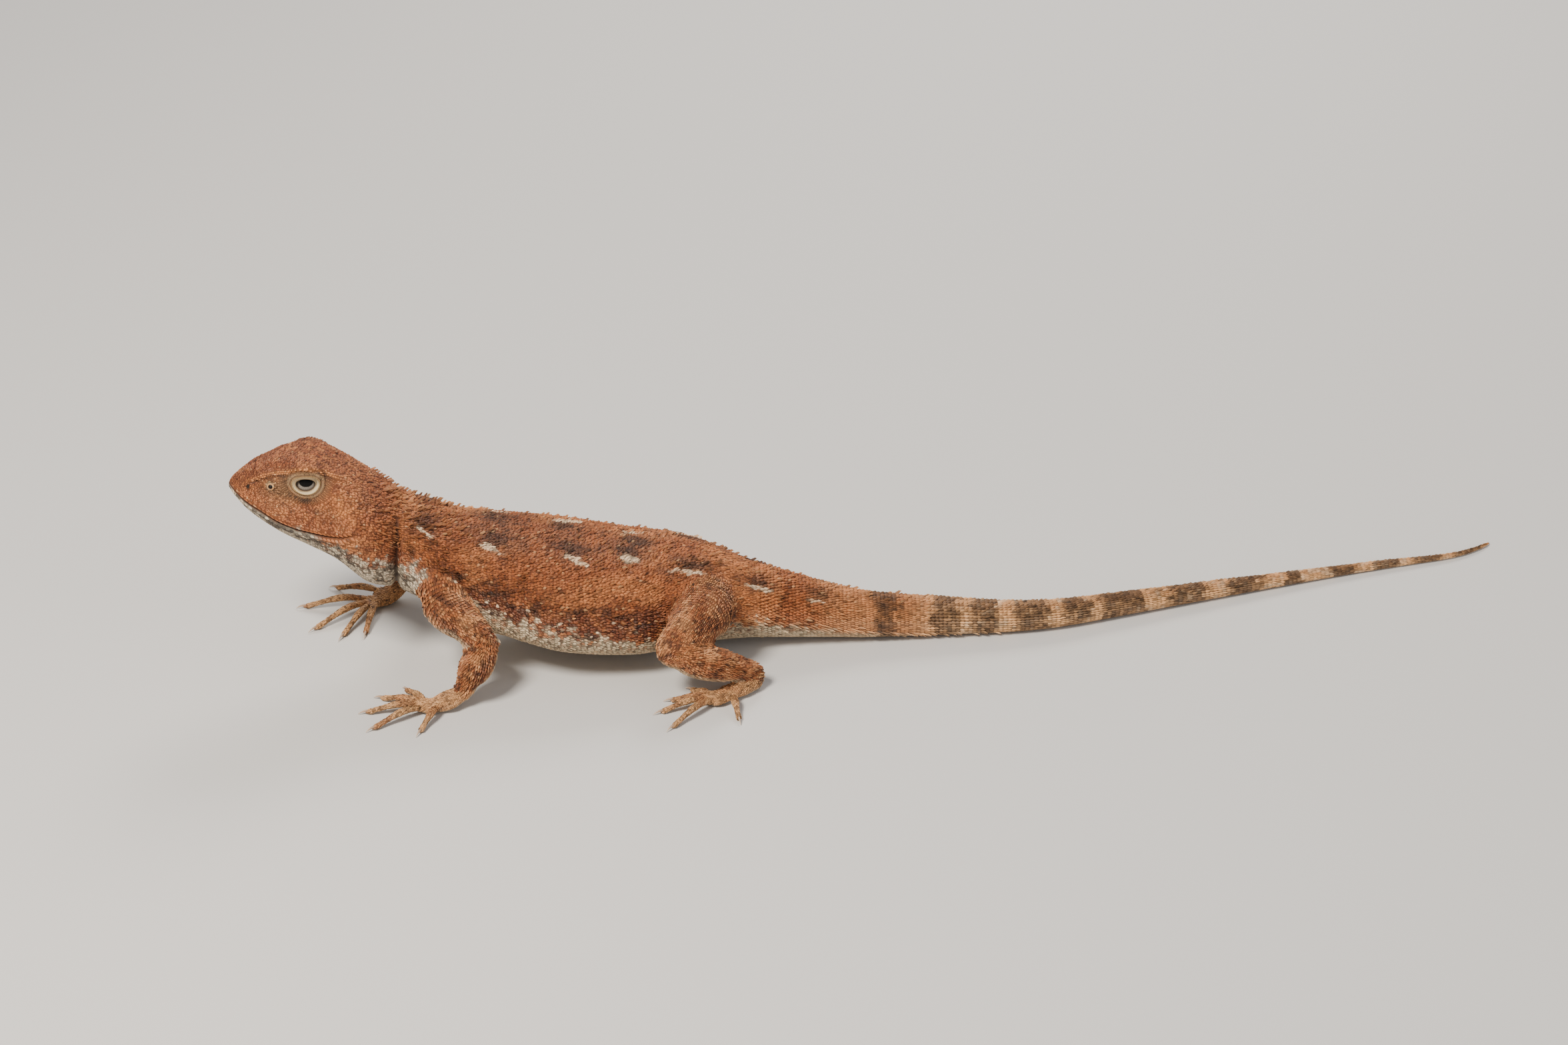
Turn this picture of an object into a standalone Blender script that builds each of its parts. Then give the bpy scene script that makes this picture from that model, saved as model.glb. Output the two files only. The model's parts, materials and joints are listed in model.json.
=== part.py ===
# A life-size central earless dragon, a small desert lizard, in a still walking stance.
# It is modelled in millimetres and turned to metres when each mesh is made.
# Own frame: x runs from the snout (negative) to the tail (positive), y from the animal's left side
# (negative) to its right, z up from the floor. At the end all is moved to the box's bottom centre.
import math

import bmesh
import bpy
import numpy as np
from mathutils import Vector

MM = 0.001
GAP = 0.3  # between touching nodes
FLOOR = 0.0

# Key sections of the body: place along the axis, top, bottom, half width, height of the widest line,
# squareness above that line, squareness below it.
BODY = (
    (-60.9, 21.30, 20.60, 0.45, 20.9, 2.0, 2.0),  # snout tip
    (-60.3, 22.05, 19.75, 1.50, 20.8, 2.1, 2.1),
    (-59.0, 22.95, 18.25, 2.60, 20.3, 2.3, 2.2),
    (-57.0, 23.90, 16.70, 3.65, 19.7, 2.5, 2.3),  # nostrils
    (-55.0, 24.70, 15.50, 4.50, 19.2, 2.5, 2.4),
    (-52.4, 25.05, 14.20, 5.30, 18.6, 2.5, 2.4),  # eyes
    (-50.0, 24.25, 12.90, 6.05, 17.9, 2.3, 2.3),
    (-47.8, 22.90, 11.20, 6.60, 17.0, 2.2, 2.2),  # back of the jaws
    (-45.8, 21.40, 9.60, 6.45, 15.6, 2.2, 2.1),
    (-43.2, 19.20, 8.45, 5.75, 14.0, 2.2, 2.1),  # neck fold
    (-41.0, 17.80, 7.20, 6.05, 12.6, 2.2, 2.1),
    (-37.3, 16.20, 4.60, 7.20, 10.0, 2.2, 2.2),  # shoulders
    (-32.0, 14.90, 3.60, 8.60, 8.4, 2.2, 2.3),
    (-25.0, 13.40, 2.00, 10.00, 6.8, 2.2, 2.4),  # widest part of the belly
    (-17.8, 12.10, 1.30, 9.40, 5.9, 2.2, 2.4),
    (-13.5, 11.80, 1.20, 7.70, 5.7, 2.2, 2.3),
    (-10.0, 11.20, 1.10, 6.20, 5.4, 2.2, 2.2),  # hips
    (-6.5, 9.80, 0.90, 5.00, 5.0, 2.1, 2.1),  # vent
    (-3.0, 8.40, 0.55, 4.00, 4.4, 2.1, 2.0),
    (4.0, 6.15, 0.12, 3.00, 3.1, 2.0, 2.0),
    (8.0, 5.10, -0.10, 2.60, 2.5, 2.0, 2.0),  # the tail meets the floor
    (15.0, 4.30, -0.12, 2.20, 2.1, 2.0, 2.0),
    (22.5, 3.55, -0.10, 1.82, 1.72, 2.0, 2.0),
    (38.0, 2.60, -0.08, 1.34, 1.26, 2.0, 2.0),
    (54.0, 1.70, -0.06, 0.88, 0.82, 2.0, 2.0),
    (70.0, 0.98, -0.04, 0.51, 0.47, 2.0, 2.0),
    (81.0, 0.54, -0.02, 0.28, 0.26, 2.0, 2.0),
    (82.6, 0.36, -0.02, 0.18, 0.17, 2.0, 2.0),  # tail tip
)
# Which way the axis heads, in degrees to the right of straight back.
HEADING = ((-61.0, 0.0), (20.0, 0.0), (34.0, 16.0), (60.0, 15.0), (74.0, 12.0), (82.6, 42.0))
# The head is rolled, its left side up, and the twist runs out in the neck.
ROLL = ((-61.0, 6.0), (-50.0, 6.0), (-41.0, 0.0), (82.6, 0.0))
ROLL_HEIGHT = 19.5

# Swellings and hollows of the head, on both sides: place, height, reach along, reach up, amount.
SWELLINGS = (
    (-53.0, 24.2, 3.4, 0.55, 0.30),  # brow ridge
    (-57.2, 23.1, 1.8, 0.50, 0.22),  # ridge from the brow to the nostril
    (-55.4, 21.6, 1.0, 0.90, -0.28),  # hollow in front of the eye
    (-52.4, 20.6, 1.8, 0.70, -0.15),  # hollow under the eye
    (-56.3, 22.1, 0.60, 0.50, 0.18),  # raised nostril scale
    (-47.2, 17.0, 2.2, 2.4, 0.35),  # jowl
    (-46.8, 11.2, 2.2, 1.6, 0.35),  # throat pouch
    (-39.5, 16.0, 1.6, 1.8, 0.25),  # shoulder muscle
    (-12.5, 9.5, 3.0, 1.8, 0.30),  # hip muscle
)
FOLD_AT, FOLD_REACH, FOLD_DEPTH = -43.2, 0.42, 0.55

# The mouth's line from the side: place, height. Behind its corner the cut turns down the jowl.
MOUTH = ((-61.6, 21.55), (-60.4, 20.95), (-59.2, 19.95), (-57.6, 19.1), (-55.4, 17.95), (-52.9, 17.25),
         (-50.0, 17.0), (-46.9, 17.7))
JAW_END = (-46.1, -45.6)  # the jaw's back edge, at the mouth's corner and under the throat
MOUTH_CORNER = -47.0
LIP_HEIGHT, LIP_REACH, LIP_SWELL = 0.5, 0.28, 0.16

EYE_AT, EYE_HEIGHT, EYE_OUT = -52.4, 22.70, 2.80
EYEBALL_R, SOCKET_R, LID_R = 1.40, 1.70, 2.20
LID_TALL = 0.90  # height of the lids' bulge as a share of its width
LID_OPENING = (1.15, 0.80)  # half width and half height of the gap between the lids
NOSTRIL_AT, NOSTRIL_HEIGHT, NOSTRIL_R = -56.3, 22.1, 0.34

# Where the body's nodes end along the axis.
NODES_ALONG = (
    ("head", -60.9, -43.2, 27, 30),
    ("neck", -43.2, -38.6, 7, 26),
    ("torso", -38.6, -6.5, 22, 26),
    ("tail_base", -6.5, 14.0, 13, 20),
    ("tail_middle", 14.0, 38.0, 12, 16),
    ("tail_end", 38.0, 62.0, 12, 12),
    ("tail_tip", 62.0, 82.6, 11, 10),
)

# Limbs, joint to joint: each row is a place (x, y, z) and the limb's half width and half height there.
LIMBS = {
    "left_upper_arm": (
        (-38.3, -4.5, 10.4, 2.9, 3.1),
        (-37.8, -7.8, 9.5, 2.6, 2.6),
        (-34.0, -10.7, 6.9, 1.8, 1.8),
    ),
    "left_forearm": (
        (-33.9, -10.9, 6.5, 1.7, 1.75),
        (-34.9, -11.7, 4.4, 1.9, 1.85),
        (-36.2, -12.3, 2.2, 1.2, 1.1),
    ),
    "left_hand": (
        (-36.2, -12.3, 1.7, 1.25, 0.95),
        (-38.6, -13.2, 0.85, 1.45, 0.9),
        (-40.3, -13.5, 0.55, 1.3, 0.65),
    ),
    "right_upper_arm": (
        (-38.3, 4.5, 10.4, 2.9, 3.1),
        (-38.0, 7.6, 9.3, 2.5, 2.5),
        (-38.1, 11.4, 6.3, 1.8, 1.8),
    ),
    "right_forearm": (
        (-38.0, 11.6, 6.0, 1.7, 1.75),
        (-40.1, 11.8, 4.5, 1.95, 1.8),
        (-43.2, 10.9, 2.4, 1.2, 1.1),
    ),
    "right_hand": (
        (-43.2, 10.9, 1.9, 1.25, 0.95),
        (-45.0, 9.7, 0.9, 1.45, 0.9),
        (-46.4, 8.6, 0.6, 1.3, 0.65),
    ),
    "left_thigh": (
        (-9.8, -3.4, 6.8, 3.3, 3.6),
        (-10.6, -7.4, 7.2, 3.1, 3.3),
        (-13.9, -11.9, 5.9, 1.95, 2.1),
    ),
    "left_shank": (
        (-13.8, -11.9, 5.6, 1.7, 1.8),
        (-10.2, -11.9, 4.2, 2.05, 2.0),
        (-5.0, -10.5, 1.9, 1.15, 1.1),
    ),
    "left_foot": (
        (-5.0, -10.7, 1.1, 1.15, 1.1),
        (-7.2, -12.2, 0.8, 1.3, 0.85),
        (-9.5, -13.6, 0.55, 1.3, 0.65),
    ),
    "right_thigh": (
        (-9.8, 3.4, 6.0, 3.2, 3.3),
        (-10.8, 6.8, 4.9, 2.8, 2.5),
        (-13.2, 10.4, 3.4, 1.8, 1.75),
    ),
    "right_shank": (
        (-13.1, 10.5, 3.1, 1.6, 1.6),
        (-9.6, 10.5, 2.6, 1.9, 1.7),
        (-4.6, 9.3, 1.7, 1.15, 1.1),
    ),
    "right_foot": (
        (-4.6, 9.6, 1.1, 1.15, 1.1),
        (-6.8, 11.1, 0.8, 1.3, 0.85),
        (-9.1, 12.5, 0.55, 1.3, 0.65),
    ),
}
LIMB_SIDES, LIMB_RINGS = 12, 11
# Tips of the digits on the floor, first to fifth. The fifth leaves the palm further back.
DIGIT_TIPS = {
    "left_hand": ((-42.6, -9.4), (-45.3, -10.9), (-46.8, -13.7), (-46.0, -17.0), (-41.0, -17.9)),
    "right_hand": ((-47.4, 2.4), (-49.9, 2.1), (-53.0, 3.8), (-54.4, 8.6), (-51.0, 12.6)),
    "left_foot": ((-11.9, -11.0), (-14.1, -13.0), (-15.3, -15.3), (-14.2, -18.4), (-7.0, -17.2)),
    "right_foot": ((-11.6, 10.0), (-13.8, 12.0), (-15.0, 14.2), (-13.9, 17.3), (-6.8, 16.1)),
}
DIGIT_ROOT, FIFTH_ROOT = 0.95, 0.6  # shares of the palm's length
DIGIT_R, DIGIT_TIP_R, DIGIT_SIDES, DIGIT_RINGS = 0.46, 0.3, 6, 8
CLAW_LENGTH, CLAW_R, CLAW_TIP_HEIGHT = 1.0, 0.22, 0.10

# Spiny scales: node, rows by their angle up from the widest line, first and last place, spacing.
SPINE_ROWS = (
    ("head", (52, 128), -49.2, -44.4, 1.5),
    ("neck", (28, 62, 90, 118, 152), -42.4, -39.4, 1.4),
    ("torso", (70, 90, 110), -37.4, -7.6, 2.35),
    ("torso", (18, 46, 134, 162), -30.5, -15.5, 2.35),  # on the flanks, between the legs
    ("tail_base", (20, 55, 90, 125, 160), -5.6, 13.2, 1.9),
)
SPINE_HEIGHT, SPINE_BASE, SPINE_ROOT, SPINE_LEAN = 0.55, 0.45, 0.35, 1.1
SPINE_SHIFT, SPINE_TURN = 0.25, 5.0  # how far a spine strays: share of the spacing, and degrees

RUFOUS = (0.45, 0.18, 0.08, 1.0)
SAND = (0.52, 0.33, 0.20, 1.0)
CREAM = (0.62, 0.56, 0.50, 1.0)
BROWN = (0.30, 0.17, 0.11, 1.0)
EYE_DARK = (0.03, 0.025, 0.02, 1.0)
NODE_COLOURS = {
    "lower_jaw": CREAM,
    "tail_base": SAND,
    "tail_middle": BROWN,
    "tail_end": BROWN,
    "tail_tip": BROWN,
    "left_hand": SAND,
    "right_hand": SAND,
    "left_foot": SAND,
    "right_foot": SAND,
    "eye_left": EYE_DARK,
    "eye_right": EYE_DARK,
}


def ease(rows, at):
    """Smooth values through the rows' key values, with no overshoot: a monotone cubic in column 0."""
    rows = np.asarray(rows, float)
    at = np.clip(np.atleast_1d(np.asarray(at, float)), rows[0, 0], rows[-1, 0])
    x, v = rows[:, 0], rows[:, 1:]
    step = np.diff(x)[:, None]
    slope = np.diff(v, axis=0) / step
    same = slope[1:] * slope[:-1] > 0
    both = np.where(same, slope[1:] + slope[:-1], 1.0)
    tangent = np.zeros_like(v)
    tangent[1:-1] = np.where(same, 2 * slope[1:] * slope[:-1] / both, 0.0)
    tangent[0], tangent[-1] = slope[0], slope[-1]
    i = np.clip(np.searchsorted(x, at, side="right") - 1, 0, len(x) - 2)
    h = step[i]
    t = ((at - x[i]) / h[:, 0])[:, None]
    return (
        v[i] * (2 * t**3 - 3 * t**2 + 1)
        + tangent[i] * h * (t**3 - 2 * t**2 + t)
        + v[i + 1] * (3 * t**2 - 2 * t**3)
        + tangent[i + 1] * h * (t**3 - t**2)
    )


def flow(rows, count):
    """Even steps along a smooth path through the rows: a Catmull-Rom curve."""
    rows = np.asarray(rows, float)
    ends = np.vstack([2 * rows[0] - rows[1], rows, 2 * rows[-1] - rows[-2]])
    at = np.linspace(0, len(rows) - 1, 60)
    i = np.clip(np.floor(at).astype(int), 0, len(rows) - 2)
    t = (at - i)[:, None]
    a, b, c, d = ends[i], ends[i + 1], ends[i + 2], ends[i + 3]
    bent, twisted = 2 * a - 5 * b + 4 * c - d, 3 * b - a - 3 * c + d
    curve = 0.5 * (2 * b + (c - a) * t + bent * t**2 + twisted * t**3)
    walked = np.cumsum(np.linalg.norm(np.diff(curve[:, :3], axis=0, prepend=curve[:1, :3]), axis=1))
    steps = np.linspace(0, walked[-1], count) if np.ndim(count) == 0 else np.asarray(count) * walked[-1]
    return np.stack([np.interp(steps, walked, column) for column in curve.T], axis=1)


def axis_at(s):
    """Floor plan of the body's axis: points (x, y) and heading in radians, summed along the heading."""
    fine = np.linspace(0.0, BODY[-1][0], 700)
    angle = np.radians(ease(HEADING, fine)[:, 0])
    step = np.diff(fine, prepend=0.0)
    x, y = np.cumsum(np.cos(angle) * step), np.cumsum(np.sin(angle) * step)
    return (
        np.where(s < 0, s, np.interp(s, fine, x)),
        np.where(s < 0, 0.0, np.interp(s, fine, y)),
        np.where(s < 0, 0.0, np.interp(s, fine, angle)),
    )


def place(s, y, z):
    """Body measures (along the axis, to the right, up) to points: the head's roll, then the tail's bend."""
    s, y, z = np.broadcast_arrays(np.asarray(s, float), y, z)
    roll = np.radians(ease(ROLL, s.ravel())[:, 0]).reshape(s.shape)
    up = z - ROLL_HEIGHT
    rolled_y = y * np.cos(roll) + up * np.sin(roll)
    rolled_z = ROLL_HEIGHT - y * np.sin(roll) + up * np.cos(roll)
    ax, ay, heading = axis_at(s)
    x = ax - rolled_y * np.sin(heading)
    return np.stack([x, ay + rolled_y * np.cos(heading), rolled_z], -1)


def mouth_height(s):
    """Height of the mouth's line."""
    return ease(MOUTH, s)[:, 0]


def relief(s, z):
    """How far the skin stands out at a place and height on a side: the sum of the swellings and lips."""
    total = np.zeros_like(z)
    for at, height, along, up, amount in SWELLINGS:
        total += amount * np.exp(-(((s - at) / along) ** 2) - ((z - height) / up) ** 2)
    from_mouth = (np.abs(z - mouth_height(s.ravel()).reshape(z.shape)) - LIP_HEIGHT) / LIP_REACH
    jaws = np.clip((MOUTH_CORNER - s) / 2.0, 0, 1)
    total += LIP_SWELL * jaws * np.exp(-(from_mouth**2))
    return total


def body_surface(s, angle, grow=0.0):
    """The skin as a function of place along the axis and angle round it, 0 on the right, 90 degrees on top.
    Each section is two half superellipses that meet at the widest line, pushed out by the relief."""
    s, angle = np.broadcast_arrays(np.asarray(s, float), angle)
    keys = ease(BODY, s.ravel())
    top, bottom, half, widest, square_up, square_down = (keys[:, i].reshape(s.shape) for i in range(6))
    c, q = np.cos(angle), np.sin(angle)
    power = 2 / np.where(q > 0, square_up, square_down)
    reach = np.where(q > 0, top - widest, widest - bottom)
    y = half * np.sign(c) * np.abs(c) ** power
    z = widest + reach * np.sign(q) * np.abs(q) ** power
    out = np.stack([y / half**2, (z - widest) / reach**2])
    out = out / np.maximum(np.linalg.norm(out, axis=0), 1e-9)
    side = np.clip(np.abs(y) / (0.35 * half), 0, 1)
    push = grow + relief(s, z) * side * np.clip(half / 3.0, 0, 1)
    push = push - FOLD_DEPTH * np.exp(-(((s - FOLD_AT) / FOLD_REACH) ** 2)) * np.where(q > 0, side, 1.0)
    return place(s, y + out[0] * push, z + out[1] * push)


def to_object(name, bm):
    """A new object from a bmesh in millimetres."""
    bmesh.ops.recalc_face_normals(bm, faces=bm.faces)
    bmesh.ops.scale(bm, vec=(MM, MM, MM), verts=bm.verts)
    mesh = bpy.data.meshes.new(name)
    bm.to_mesh(mesh)
    bm.free()
    obj = bpy.data.objects.new(name, mesh)
    bpy.context.scene.collection.objects.link(obj)
    return obj


def loft(name, rings, on_floor=True):
    """A closed solid through rings of points, with a fan at each end, kept above the floor."""
    rings = np.array(rings)
    if on_floor:
        rings[..., 2] = np.maximum(rings[..., 2], FLOOR)
    bm = bmesh.new()
    loops = [[bm.verts.new(p) for p in ring] for ring in rings]
    for a, b in zip(loops[:-1], loops[1:]):
        for i in range(len(a)):
            j = (i + 1) % len(a)
            bm.faces.new((a[i], a[j], b[j], b[i]))
    for loop in (loops[0], loops[-1]):
        centre = bm.verts.new(sum((v.co for v in loop), Vector()) / len(loop))
        for i in range(len(loop)):
            bm.faces.new((loop[i], loop[(i + 1) % len(loop)], centre))
    bmesh.ops.triangulate(bm, faces=bm.faces)
    return to_object(name, bm)


def turns(sides):
    """Angles of a ring's corners, with a flat side at the bottom."""
    return (np.arange(sides) - 0.5 * (sides % 4 == 0)) * 2 * math.pi / sides


def body_length(name, start, end, count, sides, grow=0.0):
    """One length of the body, from start to end along the axis, closer at the snout where it rounds off."""
    share = np.linspace(0.0, 1.0, count)
    if start == BODY[0][0]:
        share = share**1.45
    s = start + (end - start) * share
    return loft(name, body_surface(s[:, None], turns(sides)[None, :], grow))


def tube_rings(path, half_width, half_height, sides):
    """Rings square to a path, level across, half_width to each side and half_height up and down."""
    along = np.gradient(path, axis=0)
    along /= np.linalg.norm(along, axis=1)[:, None]
    across = np.cross(along, (0.0, 0.0, 1.0))
    flat = np.linalg.norm(across, axis=1)
    across = np.where(flat[:, None] > 0.2, across / np.maximum(flat, 1e-9)[:, None], (0.0, 1.0, 0.0))
    up = np.cross(across, along)
    angle = turns(sides)[None, :, None]
    return (
        path[:, None, :]
        + across[:, None, :] * np.cos(angle) * half_width[:, None, None]
        + up[:, None, :] * np.sin(angle) * half_height[:, None, None]
    )


def limb(name, rows, grow=0.0):
    """A tapered limb with round ends, from joint to joint, thicker all round by grow."""
    rows = np.asarray(rows, float) + np.array([0, 0, 0, grow, grow])
    first, last = (rows[0] - rows[1]), (rows[-1] - rows[-2])
    start, end = rows[0].copy(), rows[-1].copy()
    start[:3] += first[:3] / np.linalg.norm(first[:3]) * rows[0, 3:].mean()
    end[:3] += last[:3] / np.linalg.norm(last[:3]) * rows[-1, 3:].mean()
    share = (1 - np.cos(np.linspace(0.06, 0.94, LIMB_RINGS) * math.pi)) / 2
    keys = flow(np.vstack([start, rows, end]), share)
    from_start = np.linalg.norm(keys[:, :3] - start[:3], axis=1) / rows[0, 3:].mean()
    from_end = np.linalg.norm(keys[:, :3] - end[:3], axis=1) / rows[-1, 3:].mean()
    round_off = np.ones(len(keys))
    for reach in (from_start, from_end):
        round_off *= np.sqrt(1 - np.clip(1 - reach, 0, 1) ** 2)
    rings = tube_rings(keys[:, :3], keys[:, 3] * round_off, keys[:, 4] * round_off, LIMB_SIDES)
    return loft(name, rings, on_floor=grow == 0.0)


def apply_boolean(obj, operation, other=None, group=None, solver="EXACT"):
    """Applies one Boolean modifier and removes what it used."""
    modifier = obj.modifiers.new("cut", "BOOLEAN")
    modifier.operation = operation
    modifier.solver = solver
    if group is None:
        modifier.object = other
        used = [other]
    else:
        modifier.operand_type = "COLLECTION"
        modifier.collection = group
        used = list(group.objects)
    shaped = bpy.data.meshes.new_from_object(obj.evaluated_get(bpy.context.evaluated_depsgraph_get()))
    obj.modifiers.clear()
    obj.data = shaped
    for piece in used:
        bpy.data.objects.remove(piece)
    if group is not None:
        bpy.data.collections.remove(group)


def keep_largest(obj):
    """Keeps a node's largest closed surface, as found by walking across edges that two faces share."""
    bm = bmesh.new()
    bm.from_mesh(obj.data)
    bmesh.ops.triangulate(bm, faces=bm.faces)
    left, islands = set(bm.faces), []
    while left:
        found, front = set(), [left.pop()]
        while front:
            face = front.pop()
            found.add(face)
            shared = [edge for edge in face.edges if len(edge.link_faces) == 2]
            for other in {f for edge in shared for f in edge.link_faces} & left:
                left.remove(other)
                front.append(other)
        islands.append(found)
    islands.sort(key=len, reverse=True)
    loose = [face for island in islands[1:] for face in island]
    bmesh.ops.delete(bm, geom=loose, context="FACES")
    bm.to_mesh(obj.data)
    bm.free()


def join(obj, pieces):
    """One Boolean union of a node with its pieces."""
    group = bpy.data.collections.new(obj.name + "_pieces")
    bpy.context.scene.collection.children.link(group)
    for piece in pieces:
        bpy.context.scene.collection.objects.unlink(piece)
        group.objects.link(piece)
    apply_boolean(obj, "UNION", group=group)
    keep_largest(obj)


def ball(name, centre, radius, rings=12, tall=1.0):
    """A UV sphere, its height changed by the share tall."""
    bm = bmesh.new()
    bmesh.ops.create_uvsphere(bm, u_segments=2 * rings, v_segments=rings, radius=radius)
    bmesh.ops.scale(bm, vec=(1.0, 1.0, tall), verts=bm.verts)
    bmesh.ops.translate(bm, vec=Vector(centre), verts=bm.verts)
    return to_object(name, bm)


def spike(name, base, tip, radius, sides=3):
    """A tapered spine or claw: a cone from its sunken root to its tip."""
    base, tip = Vector(base), Vector(tip)
    bm = bmesh.new()
    bmesh.ops.create_cone(
        bm, cap_ends=True, segments=sides, radius1=radius, radius2=0.0, depth=(tip - base).length
    )
    bmesh.ops.rotate(bm, matrix=(tip - base).to_track_quat("Z", "Y").to_matrix(), verts=bm.verts)
    bmesh.ops.translate(bm, vec=(base + tip) / 2, verts=bm.verts)
    return to_object(name, bm)


def jaw_prism(name, lift):
    """All that lies below the mouth's line and in front of the jaw's back edge, its edges moved by lift."""
    along = np.linspace(MOUTH[0][0], MOUTH[-1][0], 24)
    outline = [(x, h + lift) for x, h in zip(along, mouth_height(along))]
    outline += [(JAW_END[0] + lift, MOUTH[-1][1] + lift), (JAW_END[1] + lift, 5.0), (MOUTH[0][0], 5.0)]
    low = [place(x, -12.0, z) for x, z in outline]
    high = [place(x, 12.0, z) for x, z in outline]
    bm = bmesh.new()
    loops = [[bm.verts.new(p) for p in side] for side in (low, high)]
    bm.faces.new(loops[0])
    bm.faces.new(loops[1])
    for i in range(len(outline)):
        j = (i + 1) % len(outline)
        bm.faces.new((loops[0][i], loops[0][j], loops[1][j], loops[1][i]))
    bmesh.ops.triangulate(bm, faces=bm.faces)
    return to_object(name, bm)


def eye_centre(side):
    """Centre of an eyeball; side is -1 on the left and 1 on the right."""
    return place(EYE_AT, side * EYE_OUT, EYE_HEIGHT)


def opening_cutter(name, side):
    """A bar through the lids with a section like an almond: two arcs that meet at the eye's corners."""
    turn = np.linspace(0.0, 2 * math.pi, 16, endpoint=False)
    wide, high = LID_OPENING
    x = EYE_AT + wide * np.cos(turn)
    z = EYE_HEIGHT + high * np.sign(np.sin(turn)) * np.abs(np.sin(turn)) ** 1.25
    out = np.array([EYE_OUT + 0.4, EYE_OUT + LID_R + 1.5])[:, None] * side
    return loft(name, place(x[None, :], out, z[None, :]), on_floor=False)


def head_parts():
    """The head with lid domes, eye sockets and nostrils, the lower jaw and the two eyeballs."""
    name, start, end, count, sides = NODES_ALONG[0]
    head = body_length(name, start, end - GAP / 2, count, sides)
    jaw = body_length("lower_jaw", start, end - GAP / 2, count, sides)
    apply_boolean(jaw, "INTERSECT", jaw_prism("jaw_space", -GAP / 2))
    apply_boolean(head, "DIFFERENCE", jaw_prism("jaw_room", GAP / 2))
    keep_largest(jaw)
    for side, label in ((-1, "left"), (1, "right")):
        centre = eye_centre(side)
        join(head, [ball("lid_dome", centre, LID_R, rings=10, tall=LID_TALL)])
        apply_boolean(head, "DIFFERENCE", ball("socket", centre, SOCKET_R, rings=10))
        apply_boolean(head, "DIFFERENCE", opening_cutter("opening", side))
        nostril = body_point(NOSTRIL_AT, side, NOSTRIL_HEIGHT)
        apply_boolean(head, "DIFFERENCE", ball("nostril", nostril, NOSTRIL_R, rings=6))
        ball("eye_" + label, centre, EYEBALL_R, rings=8)
    keep_largest(head)
    return head


def body_point(s, side, height):
    """The skin's point at a height on one side, found by halving the angle."""
    low, high = 0.0, math.pi / 2
    for _ in range(30):
        middle = (low + high) / 2
        angle = middle if side > 0 else math.pi - middle
        keys = ease(BODY, s)[0]
        z = keys[3] + (keys[0] - keys[3]) * math.sin(angle) ** (2 / keys[4])
        low, high = (middle, high) if z < height else (low, middle)
    return body_surface(np.array(s), np.array(angle))


def spines_on(node, angles, start, end, spacing, rng):
    """Spiny scales in staggered rows, each leaning back from a root sunk in the skin."""
    found = []
    for row, degrees in enumerate(angles):
        places = np.arange(start + (row % 2) * spacing / 2, end, spacing)
        for s in places + rng.uniform(-SPINE_SHIFT, SPINE_SHIFT, len(places)) * spacing:
            angle = math.radians(degrees + rng.uniform(-SPINE_TURN, SPINE_TURN))
            at = body_surface(s, angle)
            along = body_surface(s + 0.2, angle) - at
            round_it = body_surface(s, angle + 0.05) - at
            out = np.cross(along, round_it)
            out /= np.linalg.norm(out)
            along /= np.linalg.norm(along)
            if out @ (at - place(s, 0.0, ease(BODY, s)[0][3])) < 0:
                out = -out
            size = SPINE_HEIGHT * rng.uniform(0.8, 1.2) * (0.75 if node == "tail_base" else 1.0)
            tip = at + out * size + along * size * SPINE_LEAN
            root = at - out * SPINE_ROOT
            found.append(spike("spine", root, tip, SPINE_BASE * rng.uniform(0.9, 1.1)))
    return found


def digits_of(name):
    """Five jointed digits with claws, from inside the palm to their tips on the floor."""
    found = []
    roots = flow(LIMBS[name], [FIFTH_ROOT, DIGIT_ROOT])[:, :3]
    floor = DIGIT_TIP_R * 0.8
    for number, tip in enumerate(DIGIT_TIPS[name]):
        root = roots[0 if number == 4 else 1]
        tip = np.array([*tip, floor])
        arch = np.array([0.0, 0.0, 0.10 * np.linalg.norm(tip - root)])
        path = flow([root, root + (tip - root) * 0.45 + arch, tip], DIGIT_RINGS)
        path[:, 2] = np.maximum(path[:, 2], floor)
        joints = 1 + 0.10 * np.cos(np.linspace(0, 4 * math.pi, DIGIT_RINGS))
        radius = np.linspace(DIGIT_R, DIGIT_TIP_R, DIGIT_RINGS) * joints
        found.append(loft("digit", tube_rings(path, radius, radius, DIGIT_SIDES)))
        ahead = (tip - path[-3]) / np.linalg.norm(tip - path[-3])
        claw_tip = tip + ahead * CLAW_LENGTH
        claw_tip[2] = CLAW_TIP_HEIGHT
        found.append(spike("claw", tip - ahead * 0.4 + np.array([0, 0, 0.08]), claw_tip, CLAW_R, sides=5))
    return found


def build_limbs():
    """Every limb part, cut clear of the body and of the part before it, then the digits."""
    before = None
    for name, rows in LIMBS.items():
        obj = limb(name, rows)
        body = body_length("body_grown", -46.0, 6.0, 40, 32, grow=GAP)
        apply_boolean(obj, "DIFFERENCE", body)
        if not name.endswith(("upper_arm", "thigh")):
            apply_boolean(obj, "DIFFERENCE", limb("limb_grown", LIMBS[before], grow=GAP))
        keep_largest(obj)
        if name in DIGIT_TIPS:
            join(obj, digits_of(name))
        before = name


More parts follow.
